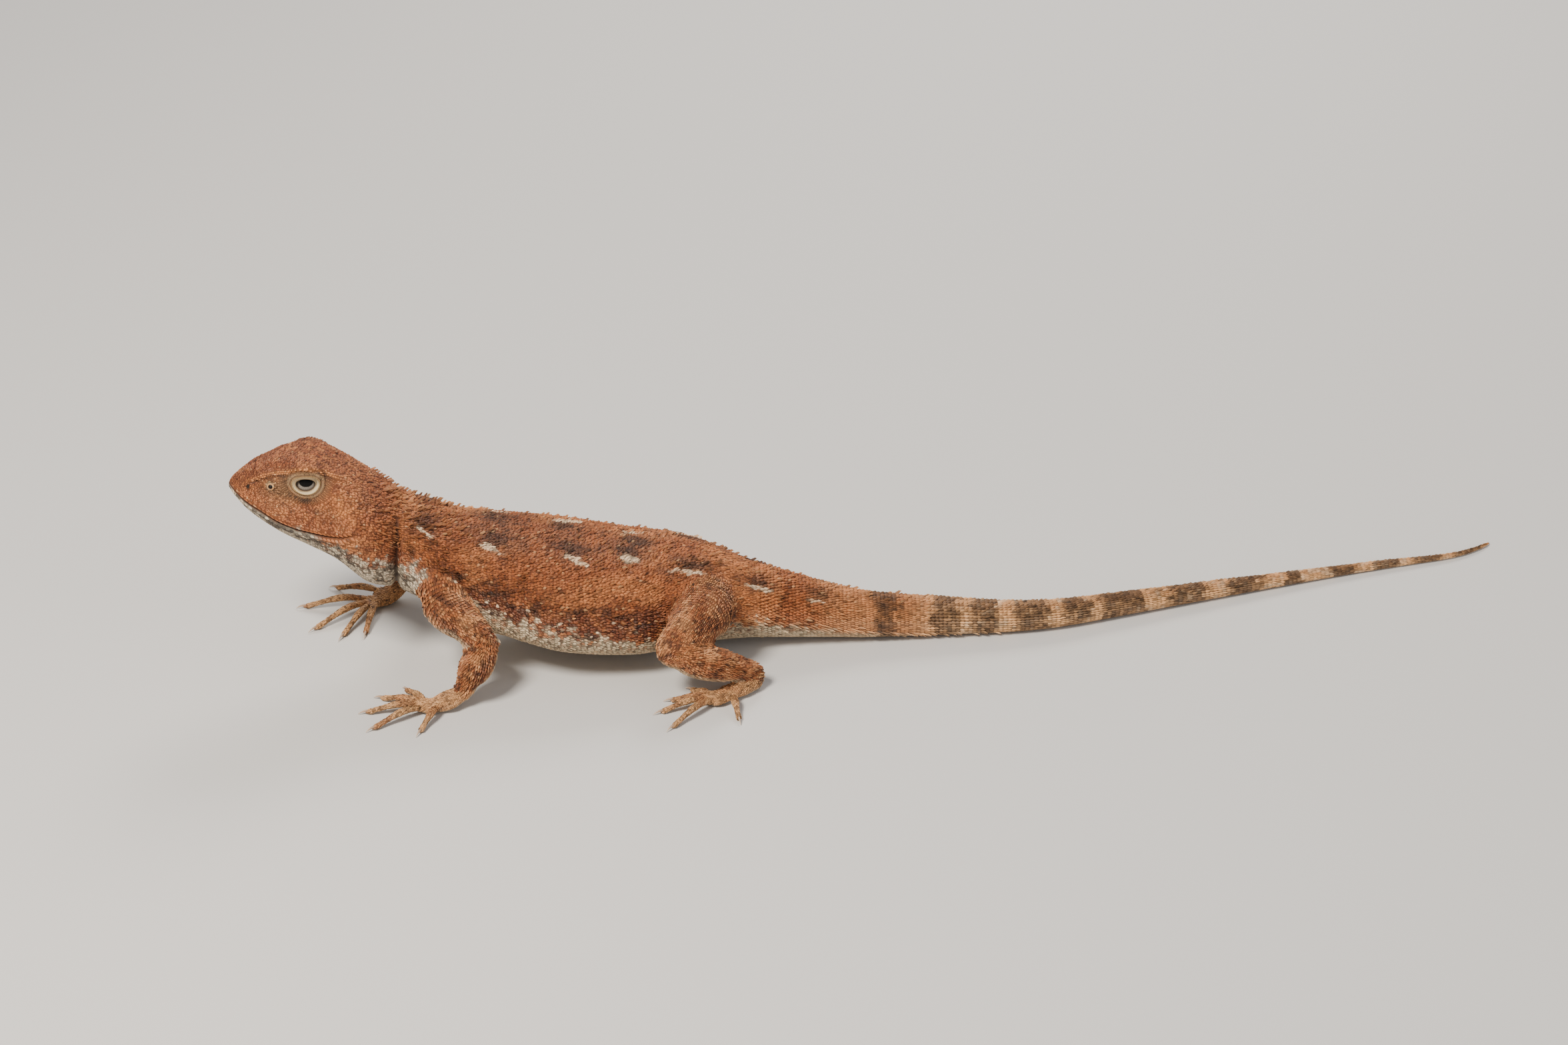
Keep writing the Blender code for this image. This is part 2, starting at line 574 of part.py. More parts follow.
def finish_nodes():
    """Moves every node to the box's bottom centre, shades it smooth and gives it its own material."""
    nodes = [o for o in bpy.context.scene.objects if o.type == "MESH"]
    corners = np.array([v.co for o in nodes for v in o.data.vertices])
    low, high = corners.min(axis=0), corners.max(axis=0)
    shift = Vector((-(low[0] + high[0]) / 2, -(low[1] + high[1]) / 2, -low[2]))
    home = bpy.data.collections.new("central_earless_dragon")
    bpy.context.scene.collection.children.link(home)
    for obj in nodes:
        obj.location = shift
        obj.data.shade_smooth()
        obj.data.set_sharp_from_angle(angle=math.radians(40))
        material = bpy.data.materials.new(obj.name)
        material.use_nodes = True
        shader = material.node_tree.nodes["Principled BSDF"]
        shader.inputs["Base Color"].default_value = NODE_COLOURS.get(obj.name, RUFOUS)
        shader.inputs["Roughness"].default_value = 0.15 if obj.name.startswith("eye") else 0.75
        obj.data.materials.clear()
        obj.data.materials.append(material)
        bpy.context.scene.collection.objects.unlink(obj)
        home.objects.link(obj)


def main():
    """Builds the animal node by node."""
    for obj in list(bpy.data.objects):
        bpy.data.objects.remove(obj)
    rng = np.random.default_rng(7)
    nodes = {"head": head_parts()}
    for name, start, end, count, sides in NODES_ALONG[1:]:
        last = end == BODY[-1][0]
        nodes[name] = body_length(name, start + GAP / 2, end - (0 if last else GAP / 2), count, sides)
    for name, node in nodes.items():
        spines = [spine for row in SPINE_ROWS if row[0] == name for spine in spines_on(*row, rng)]
        if spines:
            join(node, spines)
    build_limbs()
    finish_nodes()


main()
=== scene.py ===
# %% [markdown]
# # A central earless dragon
# This small desert lizard stands with its head raised and its tail laid on the floor. The imported solids fix
# its size and stance, and everything below grows on them: one skin, thousands of scales, lids, eyes and
# claws. We load the solids first, since the box of the left eyeball places everything that follows.

# %% Load the frame
import json
import math

import bpy
import numpy as np
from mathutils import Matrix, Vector
from mathutils.bvhtree import BVHTree
from mathutils.kdtree import KDTree

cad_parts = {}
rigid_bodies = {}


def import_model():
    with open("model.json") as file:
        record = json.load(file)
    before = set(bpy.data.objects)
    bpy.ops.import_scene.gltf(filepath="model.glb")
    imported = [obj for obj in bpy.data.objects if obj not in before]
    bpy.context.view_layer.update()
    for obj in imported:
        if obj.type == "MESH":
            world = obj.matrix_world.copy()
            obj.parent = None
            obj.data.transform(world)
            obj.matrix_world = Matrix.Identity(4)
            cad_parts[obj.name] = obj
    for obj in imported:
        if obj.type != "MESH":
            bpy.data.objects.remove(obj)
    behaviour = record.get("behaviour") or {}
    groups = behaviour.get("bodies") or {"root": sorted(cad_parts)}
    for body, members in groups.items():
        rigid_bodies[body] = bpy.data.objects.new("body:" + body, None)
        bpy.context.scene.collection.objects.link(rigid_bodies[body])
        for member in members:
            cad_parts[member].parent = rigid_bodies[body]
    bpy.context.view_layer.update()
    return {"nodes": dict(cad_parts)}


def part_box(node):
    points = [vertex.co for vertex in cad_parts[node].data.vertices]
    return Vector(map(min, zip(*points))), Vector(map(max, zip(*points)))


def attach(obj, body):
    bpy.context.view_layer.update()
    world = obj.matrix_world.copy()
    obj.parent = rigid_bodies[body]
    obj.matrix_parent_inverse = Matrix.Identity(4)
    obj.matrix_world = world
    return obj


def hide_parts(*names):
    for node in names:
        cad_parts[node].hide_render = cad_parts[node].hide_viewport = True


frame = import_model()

print("nodes in the frame:", len(frame["nodes"]))

# %% [markdown]
# ## The animal's own measures
# A lizard is easiest to describe along its own axis: how far back we are, how wide it is there, and where
# its top and bottom lie. These key sections are in millimetres, with the snout at the negative end.
# A smooth curve runs between them, so a handful of rows is enough for the whole body.

# %% Key sections of the body
MM = 0.001
# place along the axis, top, bottom, half width, widest line, squareness above it, squareness below it
BODY = (
    (-60.9, 21.30, 20.60, 0.45, 20.9, 2.0, 2.0),
    (-60.3, 22.05, 19.75, 1.50, 20.8, 2.1, 2.1),
    (-59.0, 22.95, 18.25, 2.60, 20.3, 2.3, 2.2),
    (-57.0, 23.90, 16.70, 3.65, 19.7, 2.5, 2.3),
    (-55.0, 24.70, 15.50, 4.50, 19.2, 2.5, 2.4),
    (-52.4, 25.05, 14.20, 5.30, 18.6, 2.5, 2.4),
    (-50.0, 24.25, 12.90, 6.05, 17.9, 2.3, 2.3),
    (-47.8, 22.90, 11.20, 6.60, 17.0, 2.2, 2.2),
    (-45.8, 21.40, 9.60, 6.45, 15.6, 2.2, 2.1),
    (-43.2, 19.20, 8.45, 5.75, 14.0, 2.2, 2.1),
    (-41.0, 17.80, 7.20, 6.05, 12.6, 2.2, 2.1),
    (-37.3, 16.20, 4.60, 7.20, 10.0, 2.2, 2.2),
    (-32.0, 14.90, 3.60, 8.60, 8.4, 2.2, 2.3),
    (-25.0, 13.40, 2.00, 10.00, 6.8, 2.2, 2.4),
    (-17.8, 12.10, 1.30, 9.40, 5.9, 2.2, 2.4),
    (-13.5, 11.80, 1.20, 7.70, 5.7, 2.2, 2.3),
    (-10.0, 11.20, 1.10, 6.20, 5.4, 2.2, 2.2),
    (-6.5, 9.80, 0.90, 5.00, 5.0, 2.1, 2.1),
    (-3.0, 8.40, 0.55, 4.00, 4.4, 2.1, 2.0),
    (4.0, 6.15, 0.12, 3.00, 3.1, 2.0, 2.0),
    (8.0, 5.10, -0.10, 2.60, 2.5, 2.0, 2.0),
    (15.0, 4.30, -0.12, 2.20, 2.1, 2.0, 2.0),
    (22.5, 3.55, -0.10, 1.82, 1.72, 2.0, 2.0),
    (38.0, 2.60, -0.08, 1.34, 1.26, 2.0, 2.0),
    (54.0, 1.70, -0.06, 0.88, 0.82, 2.0, 2.0),
    (70.0, 0.98, -0.04, 0.51, 0.47, 2.0, 2.0),
    (81.0, 0.54, -0.02, 0.28, 0.26, 2.0, 2.0),
    (82.6, 0.36, -0.02, 0.18, 0.17, 2.0, 2.0),
)
SNOUT, TAIL_TIP = BODY[0][0], BODY[-1][0]
HEADING = ((-61.0, 0.0), (20.0, 0.0), (34.0, 16.0), (60.0, 15.0), (74.0, 12.0), (82.6, 42.0))  # degrees
ROLL = ((-61.0, 6.0), (-50.0, 6.0), (-41.0, 0.0), (82.6, 0.0))  # degrees, the left side up
ROLL_HEIGHT = 19.5
# place, height, reach along, reach up, amount
SWELLINGS = (
    (-53.0, 24.2, 3.4, 0.55, 0.30),
    (-57.2, 23.1, 1.8, 0.50, 0.22),
    (-55.4, 21.6, 1.0, 0.90, -0.28),
    (-52.4, 20.6, 1.8, 0.70, -0.15),
    (-56.3, 22.1, 0.60, 0.50, 0.18),
    (-47.2, 17.0, 2.2, 2.4, 0.35),
    (-46.8, 11.2, 2.2, 1.6, 0.35),
    (-39.5, 16.0, 1.6, 1.8, 0.25),
    (-12.5, 9.5, 3.0, 1.8, 0.30),
)
FOLD_AT, FOLD_REACH, FOLD_DEPTH, FOLD_SWAY = -43.2, 0.40, 0.75, 0.25  # the fold of the neck
FOLD_TOP = 0.90  # sine of the angle up at which it has run out below the nape
MOUTH = ((-61.6, 21.55), (-60.4, 20.95), (-59.2, 19.95), (-57.6, 19.1), (-55.4, 17.95), (-52.9, 17.25),
         (-50.0, 17.0), (-46.9, 17.7))
MOUTH_CORNER = -47.0
LIP_HEIGHT, LIP_REACH, LIP_SWELL = 0.5, 0.28, 0.16
# the line of the brow, from beside the nostril back over the eye
BROW_LINE = ((-59.0, 21.8), (-58.1, 22.3), (-56.6, 23.0), (-54.6, 23.45), (-52.4, 23.65), (-50.7, 23.45),
             (-49.2, 22.9), (-47.0, 21.9))
EYE_AT, EYE_HEIGHT, EYE_OUT = -52.4, 22.70, 2.80
NOSTRIL_AT, NOSTRIL_HEIGHT = -56.3, 22.1


# %% [markdown]
# ## Curves through the key rows
# `ease` joins the rows with a monotone cubic, which never swings past them, so no section bulges by
# accident. `column` takes one value from it. `bell` and `fade` are the two soft steps that shape most of
# the forms and markings. `axis_at` walks along the heading and gives the tail its sideways bend in plan.

# %% Smooth values and the bent axis
def ease(rows, at):
    """Monotone cubic in column 0: Hermite pieces whose slopes are harmonic means, or 0 at a peak."""
    rows = np.asarray(rows, float)
    at = np.clip(np.atleast_1d(np.asarray(at, float)), rows[0, 0], rows[-1, 0])
    x, v = rows[:, 0], rows[:, 1:]
    step = np.diff(x)[:, None]
    slope = np.diff(v, axis=0) / step
    same = slope[1:] * slope[:-1] > 0
    both = np.where(same, slope[1:] + slope[:-1], 1.0)
    tangent = np.zeros_like(v)
    tangent[1:-1] = np.where(same, 2 * slope[1:] * slope[:-1] / both, 0.0)
    tangent[0], tangent[-1] = slope[0], slope[-1]
    i = np.clip(np.searchsorted(x, at, side="right") - 1, 0, len(x) - 2)
    h = step[i]
    t = ((at - x[i]) / h[:, 0])[:, None]
    return (
        v[i] * (2 * t**3 - 3 * t**2 + 1)
        + tangent[i] * h * (t**3 - 2 * t**2 + t)
        + v[i + 1] * (3 * t**2 - 2 * t**3)
        + tangent[i + 1] * h * (t**3 - t**2)
    )


def column(rows, s):
    """One value for each place s, in its own shape, from rows of (place, value)."""
    s = np.asarray(s, float)
    return ease(rows, s.ravel())[:, 0].reshape(s.shape)


def bell(a, b=0.0):
    """1 at the middle, falling off softly as either offset grows past 1."""
    return np.exp(-(a**2) - b**2)


def fade(value, low, high):
    """0 below low, 1 above high, eased between; low may lie above high to turn it round."""
    t = np.clip((value - low) / (high - low), 0, 1)
    return t * t * (3 - 2 * t)


AXIS_S = np.linspace(0.0, TAIL_TIP, 700)
AXIS_TURN = np.radians(ease(HEADING, AXIS_S)[:, 0])
AXIS_STEP = np.diff(AXIS_S, prepend=0.0)
AXIS_X = np.cumsum(np.cos(AXIS_TURN) * AXIS_STEP)
AXIS_Y = np.cumsum(np.sin(AXIS_TURN) * AXIS_STEP)


def axis_at(s):
    """Plan of the axis: straight along x in front of 0, then the summed heading."""
    ahead = s < 0
    return (
        np.where(ahead, s, np.interp(s, AXIS_S, AXIS_X)),
        np.where(ahead, 0.0, np.interp(s, AXIS_S, AXIS_Y)),
        np.where(ahead, 0.0, np.interp(s, AXIS_S, AXIS_TURN)),
    )


def place(s, y, z):
    """Body measures to points: turn by the roll about the height ROLL_HEIGHT, then bend along the axis."""
    s, y, z = np.broadcast_arrays(np.asarray(s, float), y, z)
    roll = np.radians(column(ROLL, s))
    up = z - ROLL_HEIGHT
    rolled_y = y * np.cos(roll) + up * np.sin(roll)
    rolled_z = ROLL_HEIGHT - y * np.sin(roll) + up * np.cos(roll)
    ax, ay, heading = axis_at(s)
    return np.stack([ax - rolled_y * np.sin(heading), ay + rolled_y * np.cos(heading), rolled_z], -1)


# %% [markdown]
# ## Where the animal stands in the frame
# The solids sit at the box's bottom centre. The left eyeball's box gives its centre there, and its formula
# gives the same point in the animal's own measures, so their difference is the shift between the two.

# %% From own measures to the frame
low, high = (np.array(c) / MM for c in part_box("eye_left"))
SHIFT = (low + high) / 2 - place(EYE_AT, -EYE_OUT, EYE_HEIGHT)
SHIFT[2] = 0.0
print("shift in mm:", SHIFT.round(3))


def to_frame(points):
    """Own millimetres to the frame's metres."""
    return (np.asarray(points, float) + SHIFT) * MM


# %% [markdown]
# ## Camera
# The photograph looks at the left side from a little above, with a long lens from half a metre away.
# A long lens keeps the near legs from growing too large against the far ones.

# %% Camera
VIEW_AZIMUTH, VIEW_ELEVATION = math.radians(-3.0), math.radians(30.0)
VIEW_DISTANCE, LENS, SENSOR = 500.0, 99.6, 36.0
VIEW_AIM = np.array([0.0, 25.0, 0.0])
VIEW_FROM = np.array([
    math.sin(VIEW_AZIMUTH) * math.cos(VIEW_ELEVATION),
    -math.cos(VIEW_AZIMUTH) * math.cos(VIEW_ELEVATION),
    math.sin(VIEW_ELEVATION),
])
camera_data = bpy.data.cameras.new("camera")
camera_data.lens = LENS
camera_data.sensor_width = SENSOR
camera_data.clip_start = 0.01
camera = bpy.data.objects.new("camera", camera_data)
camera.location = Vector(to_frame(VIEW_AIM + VIEW_FROM * VIEW_DISTANCE))
camera.rotation_euler = Vector(-VIEW_FROM).to_track_quat("-Z", "Y").to_euler()
bpy.context.scene.collection.objects.link(camera)
bpy.context.scene.camera = camera
print("camera at", [round(c, 3) for c in camera.location])


# %% [markdown]
# ## The body's surface
# Each section is two half superellipses that meet at the widest line. Small swellings and hollows push it
# out or in: brow ridges, the dent in front of the eye, jowls, the throat pouch and the fold of the neck.
# The skin lies a little inside the solids, because the scales on it bring it out to their surface.

# %% Body surface as a function of place and angle
SKIN_IN = 0.12  # depth of the coat of scales
LID_R, LID_TALL = 2.2, 0.90  # bulge of the lids round the eye, and its height as a share of its width


def fold_at(angle):
    """Place of the neck's fold, which leans a little from throat to nape."""
    return FOLD_AT + FOLD_SWAY * np.sin(angle)


def relief(s, z):
    """Sum of bell curves for the swellings, and of one along each side of the mouth for the lips."""
    total = np.zeros_like(z)
    for at, height, along, up, amount in SWELLINGS:
        total += amount * bell((s - at) / along, (z - height) / up)
    from_mouth = (np.abs(z - column(MOUTH, s)) - LIP_HEIGHT) / LIP_REACH
    jaws = np.clip((MOUTH_CORNER - s) / 2.0, 0, 1)
    return total + LIP_SWELL * jaws * bell(from_mouth) + brow_fold(s, z)


def section(s, angle, grow=0.0):
    """Body measures: y = w cos^(2/n) and z = widest + h sin^(2/n), moved along the normal by the relief."""
    s, angle = np.broadcast_arrays(np.asarray(s, float), angle)
    keys = ease(BODY, s.ravel())
    top, bottom, half, widest, square_up, square_down = (keys[:, i].reshape(s.shape) for i in range(6))
    c, q = np.cos(angle), np.sin(angle)
    power = 2 / np.where(q > 0, square_up, square_down)
    reach = np.where(q > 0, top - widest, widest - bottom)
    y = half * np.sign(c) * np.abs(c) ** power
    z = widest + reach * np.sign(q) * np.abs(q) ** power
    out = np.stack([y / half**2, (z - widest) / reach**2])
    out = out / np.maximum(np.linalg.norm(out, axis=0), 1e-9)
    off_middle = np.clip(np.abs(y) / (0.35 * half), 0, 1)
    push = grow + relief(s, z) * off_middle * np.clip(half / 3.0, 0, 1)
    fold = bell((s - fold_at(angle)) / FOLD_REACH) * np.clip((FOLD_TOP - q) / 0.30, 0, 1)
    push = push - FOLD_DEPTH * fold
    return y + out[0] * push, z + out[1] * push


OPENING_WIDE, OPENING_HIGH, OPENING_FLAT = 1.16, 0.79, 0.09  # the upper lid is flatter than the lower one
FOLD_RING, FOLD_STEP, FOLD_HEIGHT = 1.16, 0.44, 0.075  # first of the ring folds, their spacing and height
BROW_HEIGHT = 0.17
CROWN_FREE = 24.8  # above this height the eye's bulge doesn't lift the crown
SKIN_RIM, BEHIND_EYE = 1.25, 1.35  # ring inside which the skin drops back, and how near to the eye's centre


def eye_ring(s, z):
    """How far out of the eye's opening a point lies, seen from the side: 1 on its edge."""
    ds, dz = (s - EYE_AT) / OPENING_WIDE, (z - EYE_HEIGHT) / OPENING_HIGH
    upward = dz / np.maximum(np.hypot(ds, dz), 1e-6)
    return np.hypot(ds, dz / (1 - OPENING_FLAT / OPENING_HIGH * upward))


def lid_folds(ring):
    """Height of the ring folds round the eye: a cosine that dies away from the lid's edge."""
    return FOLD_HEIGHT * np.cos((ring - FOLD_RING) / FOLD_STEP * 2 * math.pi) * bell((ring - 1) / 1.1)


def brow_fold(s, z):
    """The line of the brow: a ridge with a groove under it, both bell curves across the line's height."""
    height = column(BROW_LINE, s)
    reach = np.clip((s - BROW_LINE[0][0]) / 1.0, 0, 1) * np.clip((BROW_LINE[-1][0] - s) / 2.0, 0, 1)
    ridge = BROW_HEIGHT * bell((z - height - 0.22) / 0.26)
    return reach * (ridge - BROW_HEIGHT * bell((z - height + 0.12) / 0.17))


def over_eyes(s, y, z, open_lids=True):
    """Bulges the skin to a ball round each eye: distance d from its centre becomes a soft maximum.

    Where the lids are open, the skin drops back to BEHIND_EYE from the centre, inside the eyeball."""
    outward = np.sign(y)
    away = np.stack([s - EYE_AT, y - outward * EYE_OUT, (z - EYE_HEIGHT) / LID_TALL])
    d = np.maximum(np.linalg.norm(away, axis=0), 1e-6)
    soft = 0.5 * (d + LID_R + np.sqrt((d - LID_R) ** 2 + 0.08))
    near = np.exp(-np.clip(d - LID_R, 0, None) ** 2 / 0.5) * np.clip((CROWN_FREE - z) / 0.7, 0, 1)
    lateral = np.clip((np.abs(y) - EYE_OUT) / 0.8, 0, 1)
    ring = eye_ring(s, z)
    wanted = d + (soft - d) * near + (lid_folds(ring) * lateral + brow_fold(s, z) * 0.8) * near
    if open_lids:
        inside = np.clip((SKIN_RIM - ring) / 0.12, 0, 1) * lateral
        wanted = wanted + (BEHIND_EYE - wanted) * inside
    scale = wanted / d
    high = EYE_HEIGHT + away[2] * scale * LID_TALL
    return EYE_AT + away[0] * scale, outward * EYE_OUT + away[1] * scale, high


def body_points(s, angle, grow=-SKIN_IN):
    """The skin in own millimetres: the section, the bulge over the eyes, then the roll and the bend."""
    s, angle = np.broadcast_arrays(np.asarray(s, float), angle)
    y, z = section(s, angle, grow)
    head = s < FOLD_AT
    s_eye, y_eye, z_eye = over_eyes(s, y, z)
    return place(np.where(head, s_eye, s), np.where(head, y_eye, y), np.where(head, z_eye, z))


# %% [markdown]
# ## Limbs and digits
# A limb is a path from joint to joint with a half width and a half height at each place, closed with round
# ends. The parts of one leg overlap at their joints here, so that the union leaves no gap between them.

# %% Limb rows
# place along, across and up, half width and half height at three places of every part
LIMBS = {
    "left_upper_arm": ((-38.3, -4.5, 10.4, 2.9, 3.1), (-37.8, -7.8, 9.5, 2.6, 2.6),
                       (-34.0, -10.7, 6.9, 1.8, 1.8)),
    "left_forearm": ((-33.9, -10.9, 6.5, 1.7, 1.75), (-34.9, -11.7, 4.4, 1.9, 1.85),
                     (-36.2, -12.3, 2.2, 1.2, 1.1)),
    "left_hand": ((-36.2, -12.3, 1.7, 1.25, 0.95), (-38.6, -13.2, 0.85, 1.45, 0.9),
                  (-40.3, -13.5, 0.55, 1.3, 0.65)),
    "right_upper_arm": ((-38.3, 4.5, 10.4, 2.9, 3.1), (-38.0, 7.6, 9.3, 2.5, 2.5),
                        (-38.1, 11.4, 6.3, 1.8, 1.8)),
    "right_forearm": ((-38.0, 11.6, 6.0, 1.7, 1.75), (-40.1, 11.8, 4.5, 1.95, 1.8),
                      (-43.2, 10.9, 2.4, 1.2, 1.1)),
    "right_hand": ((-43.2, 10.9, 1.9, 1.25, 0.95), (-45.0, 9.7, 0.9, 1.45, 0.9),
                   (-46.4, 8.6, 0.6, 1.3, 0.65)),
    "left_thigh": ((-9.8, -3.4, 6.8, 3.3, 3.6), (-10.6, -7.4, 7.2, 3.1, 3.3),
                   (-13.9, -11.9, 5.9, 1.95, 2.1)),
    "left_shank": ((-13.8, -11.9, 5.6, 1.7, 1.8), (-10.2, -11.9, 4.2, 2.05, 2.0),
                   (-5.0, -10.5, 1.9, 1.15, 1.1)),
    "left_foot": ((-5.0, -10.7, 1.1, 1.15, 1.1), (-7.2, -12.2, 0.8, 1.3, 0.85),
                  (-9.5, -13.6, 0.55, 1.3, 0.65)),
    "right_thigh": ((-9.8, 3.4, 6.0, 3.2, 3.3), (-10.8, 6.8, 4.9, 2.8, 2.5),
                    (-13.2, 10.4, 3.4, 1.8, 1.75)),
    "right_shank": ((-13.1, 10.5, 3.1, 1.6, 1.6), (-9.6, 10.5, 2.6, 1.9, 1.7),
                    (-4.6, 9.3, 1.7, 1.15, 1.1)),
    "right_foot": ((-4.6, 9.6, 1.1, 1.15, 1.1), (-6.8, 11.1, 0.8, 1.3, 0.85),
                   (-9.1, 12.5, 0.55, 1.3, 0.65)),
}
DIGIT_TIPS = {
    "left_hand": ((-42.6, -9.4), (-45.3, -10.9), (-46.8, -13.7), (-46.0, -17.0), (-41.0, -17.9)),
    "right_hand": ((-47.4, 2.4), (-49.9, 2.1), (-53.0, 3.8), (-54.4, 8.6), (-51.0, 12.6)),
    "left_foot": ((-11.9, -11.0), (-14.1, -13.0), (-15.3, -15.3), (-14.2, -18.4), (-7.0, -17.2)),
    "right_foot": ((-11.6, 10.0), (-13.8, 12.0), (-15.0, 14.2), (-13.9, 17.3), (-6.8, 16.1)),
}
DIGIT_ROOT, FIFTH_ROOT = 0.95, 0.6  # shares of the palm's length
DIGIT_R, DIGIT_TIP_R, CLAW_LENGTH = 0.46, 0.3, 1.0
FLOOR = 0.02


def flow(rows, shares):
    """Places at shares of the length of a Catmull-Rom curve through the rows."""
    rows = np.asarray(rows, float)
    ends = np.vstack([2 * rows[0] - rows[1], rows, 2 * rows[-1] - rows[-2]])
    at = np.linspace(0, len(rows) - 1, 80)
    i = np.clip(np.floor(at).astype(int), 0, len(rows) - 2)
    t = (at - i)[:, None]
    a, b, c, d = ends[i], ends[i + 1], ends[i + 2], ends[i + 3]
    curve = 0.5 * (2 * b + (c - a) * t + (2 * a - 5 * b + 4 * c - d) * t**2 + (3 * b - a - 3 * c + d) * t**3)
    walked = np.cumsum(np.linalg.norm(np.diff(curve[:, :3], axis=0, prepend=curve[:1, :3]), axis=1))
    at = np.asarray(shares) * walked[-1]
    return np.stack([np.interp(at, walked, values) for values in curve.T], axis=1)


def tube_points(path, half_width, half_height, angle):
    """Rings square to a path: centre + across * w cos + up * h sin, kept above the floor."""
    along = np.gradient(path, axis=0)
    along /= np.linalg.norm(along, axis=1)[:, None]
    across = np.cross(along, (0.0, 0.0, 1.0))
    flat = np.linalg.norm(across, axis=1)
    across = np.where(flat[:, None] > 0.2, across / np.maximum(flat, 1e-9)[:, None], (0.0, 1.0, 0.0))
    up = np.cross(across, along)
    angle = angle[..., None]
    points = (
        path[:, None, :]
        + across[:, None, :] * np.cos(angle) * half_width[:, None, None]
        + up[:, None, :] * np.sin(angle) * half_height[:, None, None]
    )
    points[..., 2] = np.maximum(points[..., 2], FLOOR)
    return points


def limb_keys(name, shares):
    """Centre, half width and half height at shares of a limb's length, round at both ends."""
    rows = np.asarray(LIMBS[name], float)
    first, last = rows[0] - rows[1], rows[-1] - rows[-2]
    start, end = rows[0].copy(), rows[-1].copy()
    start[:3] += first[:3] / np.linalg.norm(first[:3]) * rows[0, 3:].mean()
    end[:3] += last[:3] / np.linalg.norm(last[:3]) * rows[-1, 3:].mean()
    keys = flow(np.vstack([start, rows, end]), shares)
    round_off = np.ones(len(keys))
    for tip, row in ((start, rows[0]), (end, rows[-1])):
        reach = np.linalg.norm(keys[:, :3] - tip[:3], axis=1) / row[3:].mean()
        round_off = round_off * np.sqrt(1 - np.clip(1 - reach, 0, 1) ** 2)
    keys[:, 3:] = np.maximum(keys[:, 3:] * round_off[:, None] - SKIN_IN, 0.03)
    return keys


def digit_keys(hand, number, shares):
    """Centre and radius along one digit: an arch from the palm to the tip, swollen at its joints."""
    root = flow(LIMBS[hand], [FIFTH_ROOT, DIGIT_ROOT])[0 if number == 4 else 1, :3]
    floor = DIGIT_TIP_R * 0.8
    tip = np.array([*DIGIT_TIPS[hand][number], floor])
    arch = np.array([0.0, 0.0, 0.10 * np.linalg.norm(tip - root)])
    shares = np.asarray(shares)
    path = flow([root, root + (tip - root) * 0.45 + arch, tip], shares)
    path[:, 2] = np.maximum(path[:, 2], floor)
    joints = 1 + 0.10 * np.cos(shares * 4 * math.pi)
    end = np.sqrt(1 - np.clip((shares - 0.93) / 0.07, 0, 0.97) ** 2)
    radius = (DIGIT_R + (DIGIT_TIP_R - DIGIT_R) * shares) * joints * end
    return path, np.maximum(radius - 0.04, 0.03)


# %% [markdown]
# ## Meshes from grids
# Every loft below is a grid of points: rings along, corners round. One helper turns a grid into a closed
# mesh with a fan at each end, one closes a grid that runs back into itself, and the last writes any points
# and faces into a Blender mesh in one go.

# %% Mesh helpers
def grid_faces(rings, sides):
    """Triangles of a closed tube of rings, with the two end fans; the fans' centres are the last points."""
    a = np.arange((rings - 1) * sides)
    ring, turn = a // sides, a % sides
    b = ring * sides + (turn + 1) % sides
    quads = np.stack([a, b, b + sides, a + sides], 1)
    tris = np.concatenate([quads[:, [0, 1, 2]], quads[:, [0, 2, 3]]])
    i = np.arange(sides)
    j = (i + 1) % sides
    centre = rings * sides
    start = np.stack([j, i, np.full(sides, centre)], 1)
    last = (rings - 1) * sides
    end = np.stack([i + last, j + last, np.full(sides, centre + 1)], 1)
    return np.concatenate([tris, start, end])


def facing_out(points, faces):
    """The faces, turned over where they would close a negative volume."""
    corners = points[faces]
    volume = np.einsum("ij,ij->i", corners[:, 0], np.cross(corners[:, 1], corners[:, 2])).sum()
    return faces if volume > 0 else faces[:, ::-1]


def loft_arrays(grid):
    """Points and triangles of a closed loft through a grid of rings."""
    rings, sides, _ = grid.shape
    points = np.vstack([grid.reshape(-1, 3), grid[0].mean(0), grid[-1].mean(0)])
    return points, facing_out(points, grid_faces(rings, sides))


def wrapped_arrays(grid):
    """Points and triangles of a grid that closes on itself both ways, like a torus."""
    n, m, _ = grid.shape
    a = np.arange(n * m)
    b = a // m * m + (a % m + 1) % m
    quads = np.stack([a, b, (b + m) % (n * m), (a + m) % (n * m)], 1)
    points = grid.reshape(-1, 3)
    return points, facing_out(points, np.concatenate([quads[:, [0, 1, 2]], quads[:, [0, 2, 3]]]))


def write_paint(mesh, colours):
    """Writes one colour for each point into the attribute that the materials read."""
    rgba = np.hstack([colours, np.ones((len(colours), 1))])
    mesh.color_attributes.new("paint", "FLOAT_COLOR", "POINT").data.foreach_set("color", rgba.ravel())


def new_object(name, points, faces, colours=None, smooth=True):
    """An object at the origin from own millimetres and triangles, with an optional colour for each point."""
    mesh = bpy.data.meshes.new(name)
    mesh.vertices.add(len(points))
    mesh.vertices.foreach_set("co", to_frame(points).ravel())
    mesh.loops.add(faces.size)
    mesh.loops.foreach_set("vertex_index", faces.ravel().astype(np.int32))
    mesh.polygons.add(len(faces))
    mesh.polygons.foreach_set("loop_start", np.arange(0, faces.size, faces.shape[1], dtype=np.int32))
    mesh.update(calc_edges=True)
    if smooth:
        mesh.shade_smooth()
    else:
        mesh.shade_flat()
    if colours is not None:
        write_paint(mesh, colours)
    obj = bpy.data.objects.new(name, mesh)
    bpy.context.scene.collection.objects.link(obj)
    return obj


